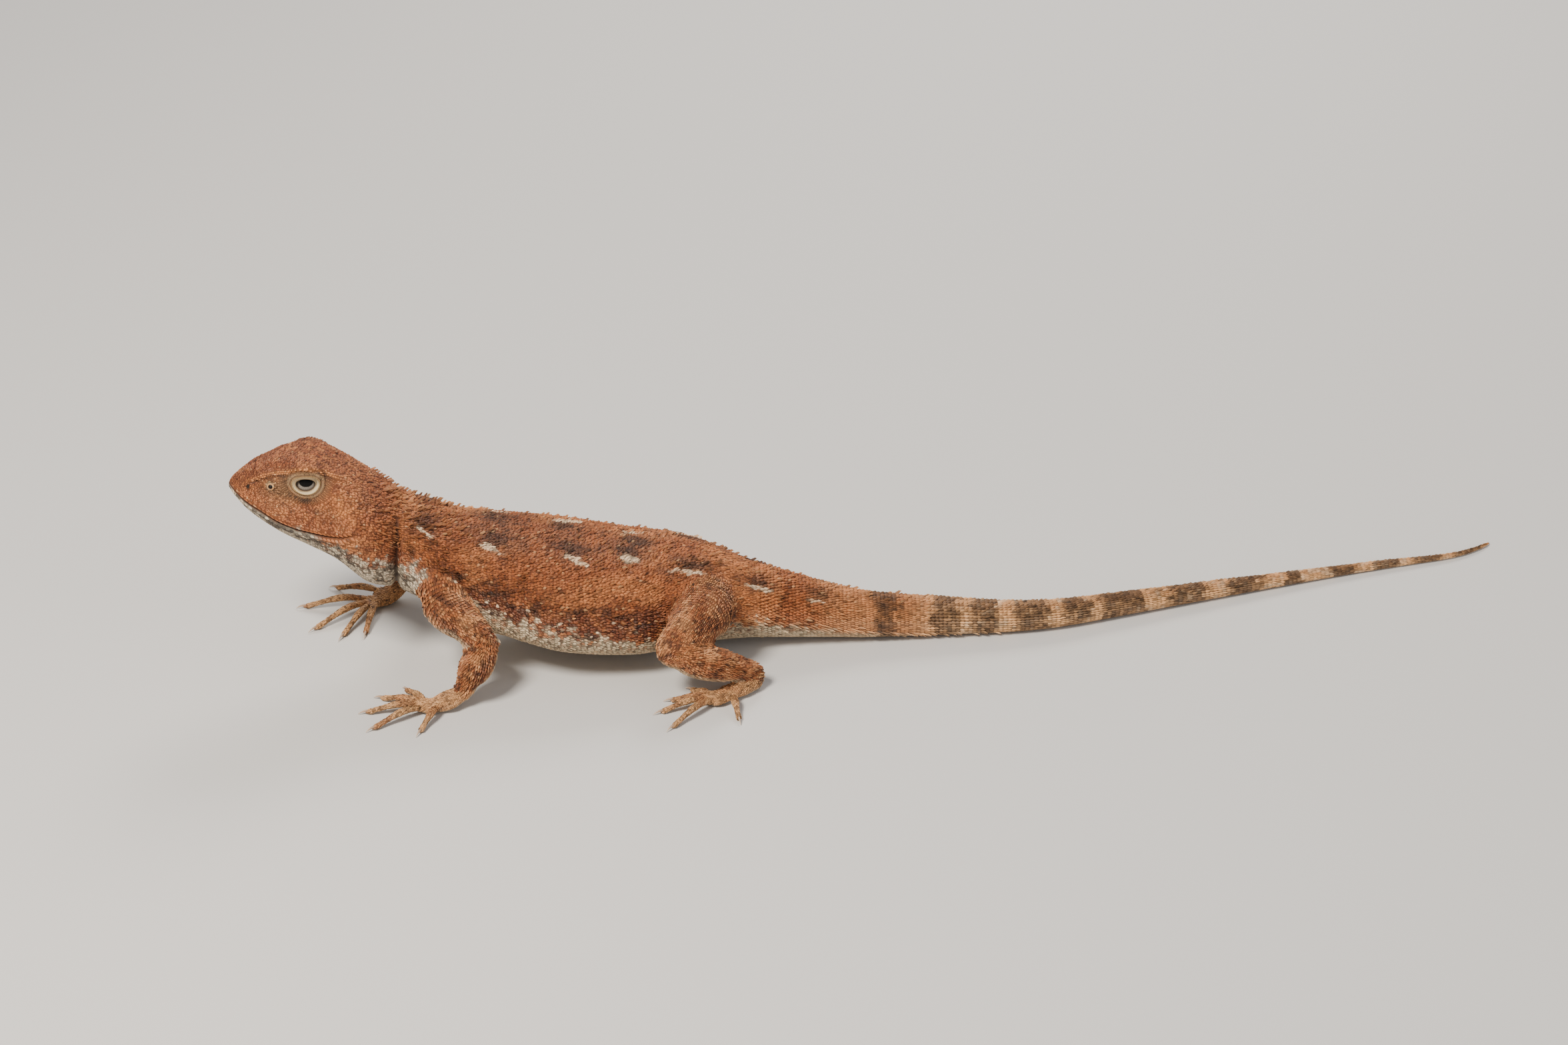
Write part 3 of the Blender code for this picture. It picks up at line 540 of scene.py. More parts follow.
# %% [markdown]
# ## Body grid
# The rings stand closer on the head, where the forms are small. Round each ring of the head the corners
# crowd towards the mouth, so that one line of corners runs exactly along it and can be pressed in.

# %% Rings and corners of the body
HALF_SIDES = 74  # corners from one side's mouth line, over the top or under the belly, to the other's


def angle_at(s, z):
    """Angle of a height above the right widest line, by inverting the section's superellipse."""
    top, bottom, _, widest, square_up, square_down = ease(BODY, s).T
    rise = z - widest
    up = np.clip(rise / (top - widest), 0, 1) ** (square_up / 2)
    down = np.clip(-rise / (widest - bottom), 0, 1) ** (square_down / 2)
    return np.where(rise > 0, np.arcsin(up), -np.arcsin(down))


s_rings = np.concatenate([
    SNOUT + (-43.0 - SNOUT) * np.linspace(0, 1, 132) ** 1.15,
    np.linspace(-42.75, -6.0, 118),
    -5.6 + (TAIL_TIP + 5.6) * np.linspace(0, 1, 168),
])
from_right = angle_at(s_rings, column(MOUTH, s_rings)) * np.clip((-40.0 - s_rings) / 6.0, 0, 1)
crowd = 1 + 0.3 * np.clip((-44.0 - s_rings) / 4.0, 0, 1)
half = np.linspace(-1, 1, HALF_SIDES + 1)[:-1]
warped = np.sign(half)[None, :] * (1 - (1 - np.abs(half)[None, :]) ** crowd[:, None])
over = math.pi / 2 + warped * (math.pi / 2 - from_right)[:, None]
under = 3 * math.pi / 2 + warped * (math.pi / 2 + from_right)[:, None]
body_angles = np.concatenate([over, under], axis=1)
BODY_SIDES = body_angles.shape[1]
grid = body_points(s_rings[:, None], body_angles)
print("body grid:", grid.shape)


# %% Press the mouth's line into the grid
MOUTH_COLUMNS = (0, HALF_SIDES)  # the two lines of corners that follow it
MOUTH_DEPTH = (0.24, 0.05)  # on the line itself, and on the lips' edges beside it


def press_mouth(grid):
    """Moves the mouth's corners towards each ring's centre, less and less towards the jaws' corner."""
    centre = grid.mean(axis=1)
    share = np.clip((MOUTH_CORNER - s_rings) / 1.2, 0, 1) * np.clip((s_rings - SNOUT) / 0.8, 0, 1)
    for mouth_corner in MOUTH_COLUMNS:
        for away, depth in ((0, MOUTH_DEPTH[0]), (-1, MOUTH_DEPTH[1]), (1, MOUTH_DEPTH[1])):
            at = (mouth_corner + away) % BODY_SIDES
            inward = centre - grid[:, at]
            inward /= np.maximum(np.linalg.norm(inward, axis=1), 1e-6)[:, None]
            grid[:, at] += inward * (depth * share)[:, None]
    return grid


grid = press_mouth(grid)
grid[..., 2] = np.maximum(grid[..., 2], FLOOR)

# %% [markdown]
# ## One skin
# The body, twelve limb parts and twenty digits are closed tubes that overlap. A Boolean union makes them
# one surface, so no seam shows at a shoulder or a knee. The joins come out sharp, and real skin stretches
# softly over them, so the corners near a join are then averaged with their neighbours.

# %% Tubes of the body, limbs and digits
LIMB_RINGS, LIMB_SIDES = 34, 30
DIGIT_RINGS, DIGIT_SIDES = 26, 10


def round_turn(sides):
    """Even angles round a ring."""
    return np.arange(sides) * 2 * math.pi / sides


def limb_grid(name, rings, sides):
    """Grid of one limb part, its rings closer at the round ends."""
    shares = (1 - np.cos(np.linspace(0.03, 0.97, rings) * math.pi)) / 2
    keys = limb_keys(name, shares)
    return tube_points(keys[:, :3], keys[:, 3], keys[:, 4], round_turn(sides)[None, :])


def digit_grid(hand, number, rings, sides):
    """Grid of one digit."""
    path, radius = digit_keys(hand, number, np.linspace(0, 1, rings))
    return tube_points(path, radius, radius, round_turn(sides)[None, :])


tubes = [("body", grid)]
tubes += [(name, limb_grid(name, LIMB_RINGS, LIMB_SIDES)) for name in LIMBS]
for hand in DIGIT_TIPS:
    tubes += [(f"{hand}.{n}", digit_grid(hand, n, DIGIT_RINGS, DIGIT_SIDES)) for n in range(5)]
joined = bpy.data.collections.new("tubes")
bpy.context.scene.collection.children.link(joined)
skin = new_object("skin", *loft_arrays(grid))
for name, tube in tubes[1:]:
    piece = new_object(name, *loft_arrays(tube))
    bpy.context.scene.collection.objects.unlink(piece)
    joined.objects.link(piece)
union = skin.modifiers.new("union", "BOOLEAN")
union.operation = "UNION"
union.solver = "MANIFOLD"
union.operand_type = "COLLECTION"
union.collection = joined
fused = bpy.data.meshes.new_from_object(skin.evaluated_get(bpy.context.evaluated_depsgraph_get()))
skin.modifiers.clear()
skin.data = fused
for piece in list(joined.objects):
    bpy.data.objects.remove(piece)
bpy.data.collections.remove(joined)
print("skin:", len(skin.data.vertices), "points", len(skin.data.polygons), "faces")


# %% [markdown]
# ## Which part a point belongs to
# Markings differ between head, back, tail and toes, so each point of the skin has to know its part and its
# place there. A tree of sample points answers both: the nearest sample tells its part, the distance along
# it and the angle round it.

# %% Samples of every tube
sample_points, sample_part, sample_along, sample_round, sample_growth = [], [], [], [], []
PART_NAMES = [name for name, _ in tubes]
for number, (name, tube) in enumerate(tubes):
    rings, sides, _ = tube.shape
    sample_points.append(tube.reshape(-1, 3))
    sample_part.append(np.full(rings * sides, number))
    sample_growth.append(np.gradient(tube, axis=0).reshape(-1, 3))
    if name == "body":
        sample_along.append(np.repeat(s_rings, sides))
        sample_round.append(body_angles.ravel())
    else:
        sample_along.append(np.repeat(np.linspace(0, 1, rings), sides))
        sample_round.append(np.tile(round_turn(sides), rings))
sample_points = np.concatenate(sample_points)
sample_part = np.concatenate(sample_part)
sample_along = np.concatenate(sample_along)
sample_round = np.concatenate(sample_round)
sample_growth = np.concatenate(sample_growth)


def tree_of(points):
    """A search tree over points."""
    tree = KDTree(len(points))
    for i, point in enumerate(points):
        tree.insert(point, i)
    tree.balance()
    return tree


sample_tree = tree_of(sample_points)


def nearest_samples(points):
    """Index of the sample nearest to each point."""
    return np.array([sample_tree.find(p)[1] for p in points])


def mesh_points(mesh):
    """A mesh's points as own millimetres."""
    flat = np.empty(len(mesh.vertices) * 3)
    mesh.vertices.foreach_get("co", flat)
    return flat.reshape(-1, 3) / MM - SHIFT


# %% Soften the joins
# how far from a join the skin softens: in a leg, where a leg meets the body, in a hand; and how many rounds
JOIN_REACH, ROOT_REACH, DIGIT_JOIN_REACH, JOIN_ROUNDS = 1.3, 2.6, 0.35, 36
JOIN_WEIGHT, ROOT_ABOVE = 0.6, 4.0
points = mesh_points(skin.data)
skin_faces = [tuple(face.vertices) for face in skin.data.polygons]
sharp_tree = BVHTree.FromPolygons(points.tolist(), skin_faces)
part = sample_part[nearest_samples(points)]
ends = np.empty(len(skin.data.edges) * 2, np.int32)
skin.data.edges.foreach_get("vertices", ends)
ends = ends.reshape(-1, 2)
seam = np.unique(ends[part[ends[:, 0]] != part[ends[:, 1]]])
seam_tree = tree_of(points[seam])
reach = np.where(part > len(LIMBS), DIGIT_JOIN_REACH, JOIN_REACH)
nearest_seam = [seam_tree.find(p) for p in points]
at_root = np.array([part[seam[found[1]]] == 0 for found in nearest_seam])
roots_of_limbs = [PART_NAMES.index(name) for name in LIMBS if "upper" in name or "thigh" in name]
reach = np.where((at_root | np.isin(part, roots_of_limbs)) & (points[:, 2] > ROOT_ABOVE), ROOT_REACH, reach)
distance = np.array([found[2] for found in nearest_seam])
weight = np.clip(1 - distance / reach, 0, 1)[:, None] * JOIN_WEIGHT
count = np.bincount(ends.ravel(), minlength=len(points))[:, None]
for _ in range(JOIN_ROUNDS):
    total = np.zeros_like(points)
    for a, b in ((0, 1), (1, 0)):
        for axis in range(3):
            total[:, axis] += np.bincount(ends[:, a], weights=points[ends[:, b], axis], minlength=len(points))
    points += (total / np.maximum(count, 1) - points) * weight
points[:, 2] = np.maximum(points[:, 2], FLOOR)
skin.data.vertices.foreach_set("co", to_frame(points).ravel())
skin.data.update()
skin.data.shade_smooth()
print("points on a join:", len(seam))


# %% [markdown]
# ## Paint
# Colour is worked out from each point's place on the animal, never from a picture: rust on the back, dark
# blotches with a cream dash along each side, a whitish belly and throat, banded tail and pale toes. The
# same function paints the skin and every scale, so both carry the same markings.
# Painted shade goes in too: in the neck's fold and the hollow behind it, behind the shoulder, along the
# mouth's line and in the groove under the brow.

# %% Colours
def srgb(red, green, blue):
    """A display colour, 0 to 255, as the linear values that shaders use."""
    c = np.array([red, green, blue]) / 255
    return np.where(c <= 0.04045, c / 12.92, ((c + 0.055) / 1.055) ** 2.4)


RUST, RUST_LIGHT, RUST_DARK = srgb(152, 85, 47), srgb(182, 112, 65), srgb(100, 49, 27)
SADDLE, CROWN, LOREAL, BROW = srgb(112, 67, 45), srgb(134, 73, 45), srgb(130, 93, 61), srgb(196, 122, 67)
# The dark blotch colour also paints shade into folds, grooves and hollows and into the nostrils' rings;
# the fleck colour also paints the shade inside the nostrils and at the lids' inner edge; the rim colour also
# paints highlight on the lids' fold crests.
BLOTCH_AND_SHADE, CREAM, BELLY = srgb(66, 43, 32), srgb(226, 199, 164), srgb(192, 173, 142)
THROAT, FLECK_AND_SHADE, RIM_AND_HIGHLIGHT = srgb(192, 177, 152), srgb(58, 47, 40), srgb(178, 152, 110)
TAN, BAND, TAIL_TOP = srgb(224, 170, 116), srgb(78, 58, 44), srgb(160, 102, 62)
LIMB, LIMB_PALE, LIMB_DARK = srgb(152, 86, 48), srgb(200, 142, 92), srgb(80, 46, 30)
TOE, TIP = srgb(200, 150, 100), srgb(220, 170, 118)
LID_CREAM, LID_OCHRE, LID_GREY = srgb(206, 184, 142), srgb(156, 122, 76), srgb(122, 103, 76)
# dark blotches of the left side: place, degrees up, half length, half height in degrees; then the cream
# dash below each: place, degrees up, half length
BLOTCHES = (
    (-40.1, 69.0, 0.8, 11.0, -39.95, 56.0, 0.75),
    (-32.6, 76.0, 1.8, 11.0, -33.05, 63.7, 1.45),
    (-24.4, 79.0, 1.5, 9.0, -24.15, 68.6, 1.4),
    (-18.3, 86.0, 1.4, 9.0, -18.2, 75.4, 1.1),
    (-11.2, 66.0, 1.7, 8.0, -11.4, 57.9, 2.0),
    (-4.1, 61.0, 1.4, 8.0, -4.2, 51.0, 1.6),
    (2.6, 60.0, 1.0, 10.0, 2.7, 44.5, 1.3),
)
DASH_SLOPE = 1.6  # degrees down for each millimetre back
# dark bands of the tail from end to end
BANDS = ((8.4, 10.9), (15.0, 17.7), (19.2, 22.0), (24.2, 27.4), (29.7, 32.2), (33.6, 39.2), (42.1, 46.4),
         (49.3, 53.2), (55.9, 58.2), (62.1, 64.8), (67.2, 70.3), (72.1, 75.2), (77.5, 80.8))
# place and angle up from the widest line, in degrees, where rust gives way to the whitish underside
UNDERSIDE = ((-61.0, -9.0), (-60.0, -10.0), (-59.1, -13.0), (-57.9, -14.0), (-56.9, -17.0), (-55.4, -21.0),
             (-53.2, -19.5), (-51.2, -20.0), (-49.0, -17.5), (-46.9, -12.0), (-44.8, -6.5),
             (-43.5, -7.0), (-42.7, -2.0), (-41.7, 6.5), (-40.7, 11.0), (-38.5, 13.0),
             (-35.0, 4.5), (-31.5, -0.5), (-28.3, -1.5), (-24.9, -2.0),
             (-21.7, -3.5), (-18.4, -5.5), (-15.8, -10.0), (-13.0, -14.0), (-9.0, -10.0), (-5.0, -7.0),
             (-1.0, -14.0), (3.9, -19.0), (7.6, -24.0), (14.0, -42.0), (82.6, -46.0))

# dark marks below the eye: place, height, length and rise
EYE_MARKS = ((-52.3, 20.9, 1.0, 0.30), (-51.0, 19.9, 0.8, 0.30), (-53.6, 21.2, 0.7, 0.25))


def clouds(points, size, seed):
    """Value noise, 0 to 1: a random number at each corner of a cubic lattice, blended between corners."""
    q = points / size + seed * 17.31
    whole = np.floor(q).astype(np.int64)
    f = q - whole
    f = f * f * (3 - 2 * f)
    total = 0.0
    for corner in range(8):
        bits = np.array([corner & 1, corner >> 1 & 1, corner >> 2 & 1])
        n = whole + bits
        h = (n[:, 0] * 73856093) ^ (n[:, 1] * 19349663) ^ (n[:, 2] * 83492791) ^ (seed * 7919)
        h = (h ^ (h >> 13)) * 1274126177 & 0x7FFFFFFF
        share = np.where(bits, f, 1 - f).prod(axis=1)
        total = total + share * (h % 65536) / 65535
    return total


def mix(base, colour, amount):
    """Blends a colour over the base by an amount for each point."""
    return base + (colour - base) * amount[:, None]


def rise_of(angle):
    """Degrees up from the widest line, on either side: 90 on top, -90 under the belly."""
    return np.degrees(np.arcsin(np.clip(np.sin(angle), -1, 1)))


def paint_body(points, s, angle):
    """Colours of the head, trunk and tail from the place along the axis and the angle up."""
    up = rise_of(angle)
    left = np.cos(angle) < 0
    fine, patch, broad = clouds(points, 0.45, 1), clouds(points, 1.2, 2), clouds(points, 3.2, 3)
    grit = clouds(points, 0.5, 31)
    colour = mix(np.tile(RUST, (len(s), 1)), RUST_LIGHT, fade(broad, 0.5, 0.75) * 0.8)
    colour = mix(colour, RUST_DARK, fade(patch, 0.5, 0.8) * fade(fine, 0.3, 0.7) * 0.6)
    crown = fade(s, -43.0, -46.0) * fade(up, 20, 50)
    colour = mix(colour, CROWN, crown * 0.85)
    colour = mix(colour, SADDLE, crown * fade(patch, 0.5, 0.8) * 0.5)

    for k, (at, rise, length, height, dash_at, dash_rise, dash_length) in enumerate(BLOTCHES):
        along = s - np.where(left, 0.0, 0.8 * math.sin(2.3 * k))
        over = up + np.where(left, 0.0, 2.0)
        wobble = (patch - 0.5) * 1.5 + (fine - 0.5) * 0.9
        round_it = np.hypot((along - at) / (length * 2.3), (over - rise) / (height * 2.2)) + wobble * 0.6
        colour = mix(colour, SADDLE, fade(round_it, 1.1, 0.5) * 0.7 * fade(s, -45, -43))
        dark = np.hypot((along - at) / length, (over - rise) / height) + wobble
        colour = mix(colour, BLOTCH_AND_SHADE, fade(dark + (grit - 0.5) * 0.6, 1.2, 0.5) * 0.8 * fade(s, -45, -43))
        slope = DASH_SLOPE * (along - dash_at)
        dash = np.hypot((along - dash_at) / dash_length, (over - dash_rise + slope) / 3.4) + wobble * 0.8
        dash = dash + (grit - 0.5) * 0.9
        colour = mix(colour, CREAM, fade(dash, 1.15, 0.6) * 0.85)
    low_flank = fade(up, 44, 14) * fade(s, -40, -36) * fade(s, -8, -12)
    streak = clouds(points * np.array([0.6, 1.0, 1.5]), 0.8, 11)
    colour = mix(colour, RUST_DARK, low_flank * (0.6 + 0.4 * fade(patch, 0.3, 0.6)))
    colour = mix(colour, BLOTCH_AND_SHADE, low_flank * fade(streak, 0.56, 0.7) * 0.75)
    colour = mix(colour, RUST_LIGHT, low_flank * fade(fine, 0.66, 0.82) * 0.7)
    # painted shade in the hollow behind the shoulder, above the arm
    shoulder_shade = bell((s + 34.3) / 3.0, (up - 25) / 9)
    colour = mix(colour, BLOTCH_AND_SHADE, np.clip(shoulder_shade * 1.3, 0, 1) * fade(streak, 0.3, 0.55) * 0.8)
    # painted shade: a dark patch in the hollow just behind the neck's fold
    nape = bell((s + 41.3) / 0.7, (up - 34) / 24)
    colour = mix(colour, BLOTCH_AND_SHADE, nape * fade(patch, 0.35, 0.65) * 0.7)

    edge = column(UNDERSIDE, s)
    ragged = up + (patch - 0.5) * 8 + (fine - 0.5) * np.where(s < -38.0, 26, 15)
    spots = fade(ragged, edge + 20, edge + 10) * fade(clouds(points, 0.4, 14), 0.72, 0.80) * fade(s, -40, -37)
    colour = mix(colour, CREAM, spots * 0.8)
    under = fade(ragged, edge + 5, edge - 4)
    pale = np.where((s < -40.0)[:, None], THROAT, BELLY)
    net = np.abs(clouds(points, 0.75, 13) - 0.5) + 0.25 * np.abs(patch - 0.5)
    throat = fade(s, -38.5, -41.0)
    pale = mix(pale, FLECK_AND_SHADE, throat * fade(net, 0.17, 0.09) * 0.85)
    oblique = np.sin((s * 1.0 + np.where(left, 1, -1) * points[:, 1] * 0.9) * 6.5)
    rows = fade(oblique, 0.45, 0.9) * fade(up, -60, -10) * (1 - throat)
    pale = mix(pale, SADDLE, rows * 0.6)
    pale = mix(pale, RUST, fade(fine, 0.55, 0.75) * fade(up, edge - 25, edge) * 0.6)
    colour = colour + (pale - colour) * under[:, None]

    on_tail = (0.5 * fade(s, 0.0, 6.0) + 0.5 * fade(s, 11.0, 15.2)) * (1 - under * 0.6)
    tail = mix(np.tile(TAN, (len(s), 1)), TAIL_TOP, fade(up, 35, 75) * 0.45)
    tail = mix(tail, CREAM, fade(fine, 0.55, 0.8) * fade(s, 11.0, 18.0) * 0.5)
    tail = mix(tail, RUST_LIGHT, fade(s, 17.5, 13.0) * 0.5)
    colour = colour + (tail - colour) * on_tail[:, None]
    behind = fade(s, 4.0, 10.0) * fade(up, -60, -20)
    colour = mix(colour, BAND, behind * fade(grit, 0.60, 0.78) * 0.28)
    for start, end in BANDS:
        wavy = s + (patch - 0.5) * 1.3 + (fine - 0.5) * 1.1
        band = fade(wavy, start - 0.3, start + 0.3) * fade(wavy, end + 0.3, end - 0.3) * fade(up, -80, -35)
        colour = mix(colour, BAND, band * (0.60 + 0.22 * fade(grit, 0.25, 0.5)))
    # painted shade along the crease of the neck's fold
    fold = bell((s - fold_at(angle)) / 0.30) * fade(up, 70, 45)
    return mix(colour, BLOTCH_AND_SHADE, fold * 0.8)


def ring_on_skin(s, y, z):
    """The eye's ring measured after the bulge has moved the point."""
    moved_s, _, moved_z = over_eyes(s, y, z)
    return eye_ring(moved_s, moved_z)


def paint_head(points, s, angle, colour):
    """Adds the face over the body's colours: brow line, lores, marks round the eye, lips and nostril."""
    y, z = section(s, angle, -SKIN_IN)
    fine, patch = clouds(points, 0.40, 5), clouds(points, 1.1, 6)
    mottle = clouds(points, 0.62, 41)
    on_face = fade(s, -43.5, -46.0) * fade(rise_of(angle), -20, 0)
    colour = mix(colour, RUST_DARK, on_face * fade(mottle, 0.56, 0.78) * 0.5)
    colour = mix(colour, BROW, on_face * fade(mottle, 0.42, 0.24) * 0.35)
    ring = ring_on_skin(s, y, z)
    from_brow = z - column(BROW_LINE, s)
    on_brow = fade(s, -59.2, -58.2) * fade(s, -47.5, -49.5)
    lores = bell((s + 55.0) / 2.2, (z - 21.9) / 1.25)
    colour = mix(colour, LOREAL, np.clip(lores * 1.2, 0, 1) * 0.85)
    colour = mix(colour, FLECK_AND_SHADE, lores * fade(fine, 0.6, 0.8) * 0.4)
    socket = fade(ring, 2.7, 1.9) * fade(from_brow, 0.5, 0.0)
    colour = mix(colour, LOREAL, socket * 0.7)
    colour = mix(colour, FLECK_AND_SHADE, socket * fade(fine, 0.62, 0.8) * 0.35)
    for at, height, along, rise in EYE_MARKS:
        mark = bell((s - at) / along, (z - height) / rise)
        colour = mix(colour, FLECK_AND_SHADE, mark * fade(fine, 0.2, 0.45) * 0.85)
    colour = mix(colour, BROW, bell((from_brow - 0.12) / 0.20) * on_brow * 0.8)
    # painted shade in the groove under the brow's ridge
    colour = mix(colour, BLOTCH_AND_SHADE, bell((from_brow + 0.16) / 0.12) * on_brow * 0.6)
    to_mouth = z - column(MOUTH, s)
    temple = bell((s + 48.5) / 2.0, (z - 20.6) / 1.6)
    colour = mix(colour, BROW, temple * (0.35 + 0.5 * fade(fine, 0.4, 0.7)))
    lips = bell((to_mouth - 0.3) / 1.0) * fade(s, -46.5, -49) * fade(to_mouth, -0.15, 0.05)
    colour = mix(colour, RUST, lips * 0.5)
    colour = mix(colour, BROW, lips * fade(patch, 0.5, 0.75) * 0.25)
    colour = mix(colour, THROAT, fade(to_mouth, -0.04, -0.16) * fade(s, -50.5, -52.5) * 0.9)
    jaw_marks = fade(to_mouth, -0.10, -0.30) * fade(to_mouth, -1.7, -1.0) * fade(s, -49.0, -51.0)
    colour = mix(colour, FLECK_AND_SHADE, jaw_marks * fade(clouds(points, 0.6, 15), 0.44, 0.60) * 0.85)
    cheek = fade(to_mouth, 0.3, -0.8) * fade(s, -52.0, -49.0) * fade(to_mouth, -5.5, -3.5)
    colour = mix(colour, RUST_DARK, cheek * fade(patch, 0.40, 0.70) * 0.35 * (colour[:, 2] < 0.2))
    # painted shade along the mouth's line, where the jaws meet
    groove = bell(to_mouth / 0.10) * fade(s, -47.4, -51)
    colour = mix(colour, BLOTCH_AND_SHADE, groove * 0.8)
    pit = np.hypot(s - NOSTRIL_AT, z - NOSTRIL_HEIGHT)
    colour = mix(colour, RIM_AND_HIGHLIGHT, fade(pit, 0.55, 0.35) * 0.7)
    speck = np.hypot(s + 58.7, z - 21.65)
    return mix(colour, FLECK_AND_SHADE * 0.4, fade(speck, 0.22, 0.12))


def paint_limb(points, part, along, angle):
    """Colours of limbs and digits: rust with pale and dark cross rows, paler below and towards the toes."""
    fine, patch = clouds(points, 0.40, 8), clouds(points, 1.4, 9)
    colour = mix(np.tile(LIMB, (len(part), 1)), LIMB_PALE, fade(patch, 0.5, 0.8) * 0.45)
    names = np.array(PART_NAMES)[part]
    forearm = np.char.find(names, "forearm") >= 0
    colour = mix(colour, RUST_DARK, fade(patch, 0.50, 0.25) * (0.45 + 0.35 * forearm) + 0.15 * forearm)
    colour = mix(colour, LIMB_DARK, fade(fine, 0.60, 0.76) * 0.8)
    colour = mix(colour, LIMB_PALE, fade(fine, 0.38, 0.20) * 0.4)
    digit = np.char.find(names, ".") >= 0
    palm = np.isin(names, list(DIGIT_TIPS))
    toe = mix(np.tile(TOE, (len(part), 1)), LIMB, fade(patch, 0.45, 0.8) * 0.6)
    toe = mix(toe, LIMB_DARK, fade(fine, 0.66, 0.82) * 0.5)
    bars = fade(np.sin(along * 19.0 + patch), 0.3, 0.8)
    toe = mix(toe, LIMB_DARK, bars * 0.3 * digit)
    share = (digit * 0.9 + palm * 0.65)[:, None]
    colour = colour + (toe - colour) * share
    colour = mix(colour, BELLY, fade(np.sin(angle), -0.35, -0.8) * 0.85)
    upper_arm = np.char.find(names, "upper_arm") >= 0
    on_left = np.char.find(names, "left") >= 0
    front = np.cos(angle + np.where(on_left, math.pi / 3, 2 * math.pi / 3)) + (fine - 0.5) * 0.5
    return mix(colour, BELLY, upper_arm * fade(front, 0.55, 0.95) * fade(along, 0.95, 0.7) * 0.8)


def paint(points, samples):
    """The colour of any points from the samples nearest to them."""
    part, s, angle = sample_part[samples], sample_along[samples], sample_round[samples]
    colour = np.zeros((len(points), 3))
    body = part == 0
    trunk = paint_body(points[body], s[body], angle[body])
    colour[body] = paint_head(points[body], s[body], angle[body], trunk)
    colour[~body] = paint_limb(points[~body], part[~body], s[~body], angle[~body])
    return np.clip(colour, 0.0, 1.0)


SKIN_SHADE = 0.48  # the skin shows between the scales, where less light comes
skin_samples = nearest_samples(points)
write_paint(skin.data, paint(points, skin_samples) * SKIN_SHADE)
print("painted", len(points), "points of skin")


# %% [markdown]
# ## One pattern for every scale
# A scale is a small closed leaf of nine points: a sunk front, two sides, a free tip and a raised keel along
# its middle. Thousands of them are written at once by stretching the same leaf and laying it on the skin.
# Solid leaves are used, as hair and instances would be lost when the model is exported.

# %% The scale's pattern and the writer of scales
# along, across, and weights for the height: sunk front, keel, tip
LEAF = np.array([
    (-0.48, 0.0, -0.09, 0.0, 0.0),
    (-0.10, 0.52, -0.05, 0.0, 0.0),
    (-0.10, -0.52, -0.05, 0.0, 0.0),
    (0.26, 0.36, -0.02, 0.0, 0.25),
    (0.26, -0.36, -0.02, 0.0, 0.25),
    (0.66, 0.0, 0.0, 0.1, 1.0),
    (-0.14, 0.0, 0.02, 0.75, 0.1),
    (0.30, 0.0, 0.02, 1.0, 0.55),
    (0.04, 0.0, -0.16, 0.0, 0.0),
])
LEAF_FACES = np.array([
    (0, 6, 1), (0, 2, 6), (1, 6, 7), (1, 7, 3), (2, 7, 6), (2, 4, 7), (3, 7, 5), (4, 5, 7),
    (0, 1, 8), (2, 0, 8), (4, 2, 8), (5, 4, 8), (3, 5, 8), (1, 3, 8),
])
# painted shade and highlight within each scale: darker at the sunk front, its sides and the underside,
# brighter along the keel and at the tip
LEAF_SHADE = np.array([0.56, 0.64, 0.64, 0.84, 0.84, 1.14, 1.00, 1.16, 0.5])  # brightness of each point
LEAF_PALE = np.array([0.0, 0.0, 0.0, 0.05, 0.05, 0.42, 0.10, 0.24, 0.0])  # share of cream on keel and tip
PATCH = 0.003  # width of one scale on the baking map
DARK_SHARE, PALE_SHARE = 0.085, 0.02  # odd scales that are much darker or paler than their place

skin_tree = BVHTree.FromPolygons(points.tolist(), skin_faces)
random = np.random.default_rng(7)


def unit(vectors):
    """Vectors of length 1."""
    return vectors / np.maximum(np.linalg.norm(vectors, axis=-1, keepdims=True), 1e-9)


def on_map(u, v):
    """Places on the baking map from two shares, inside a margin."""
    return np.stack(np.broadcast_arrays(0.02 + 0.96 * u, 0.02 + 0.96 * v), -1)


def along_skin(along, normals):
    """The direction without its share along the normal."""
    return along - normals * (along * normals).sum(axis=1)[:, None]


def swayed(along, normals, amount):
    """The direction turned a little to one side by a random amount."""
    return unit(along + np.cross(normals, along) * random.normal(0, amount, len(along))[:, None])


def set_roots(roots, along, slack=0.16, reach=1.6):
    """Moves roots of the sharp union's surface onto the skin; gives normals, directions and which stay."""
    normals = np.zeros_like(roots)
    keep = np.zeros(len(roots), bool)
    for i, root in enumerate(roots):
        if sharp_tree.find_nearest(root, slack)[0] is None:
            continue
        at, normal, _, _ = skin_tree.find_nearest(root, reach)
        if at is not None:
            roots[i] = at
            normals[i] = normal
            keep[i] = True
    flat = along_skin(along, normals)
    keep &= np.linalg.norm(flat, axis=1) > 0.2 * np.linalg.norm(along, axis=1)
    return roots, unit(normals), unit(flat), keep


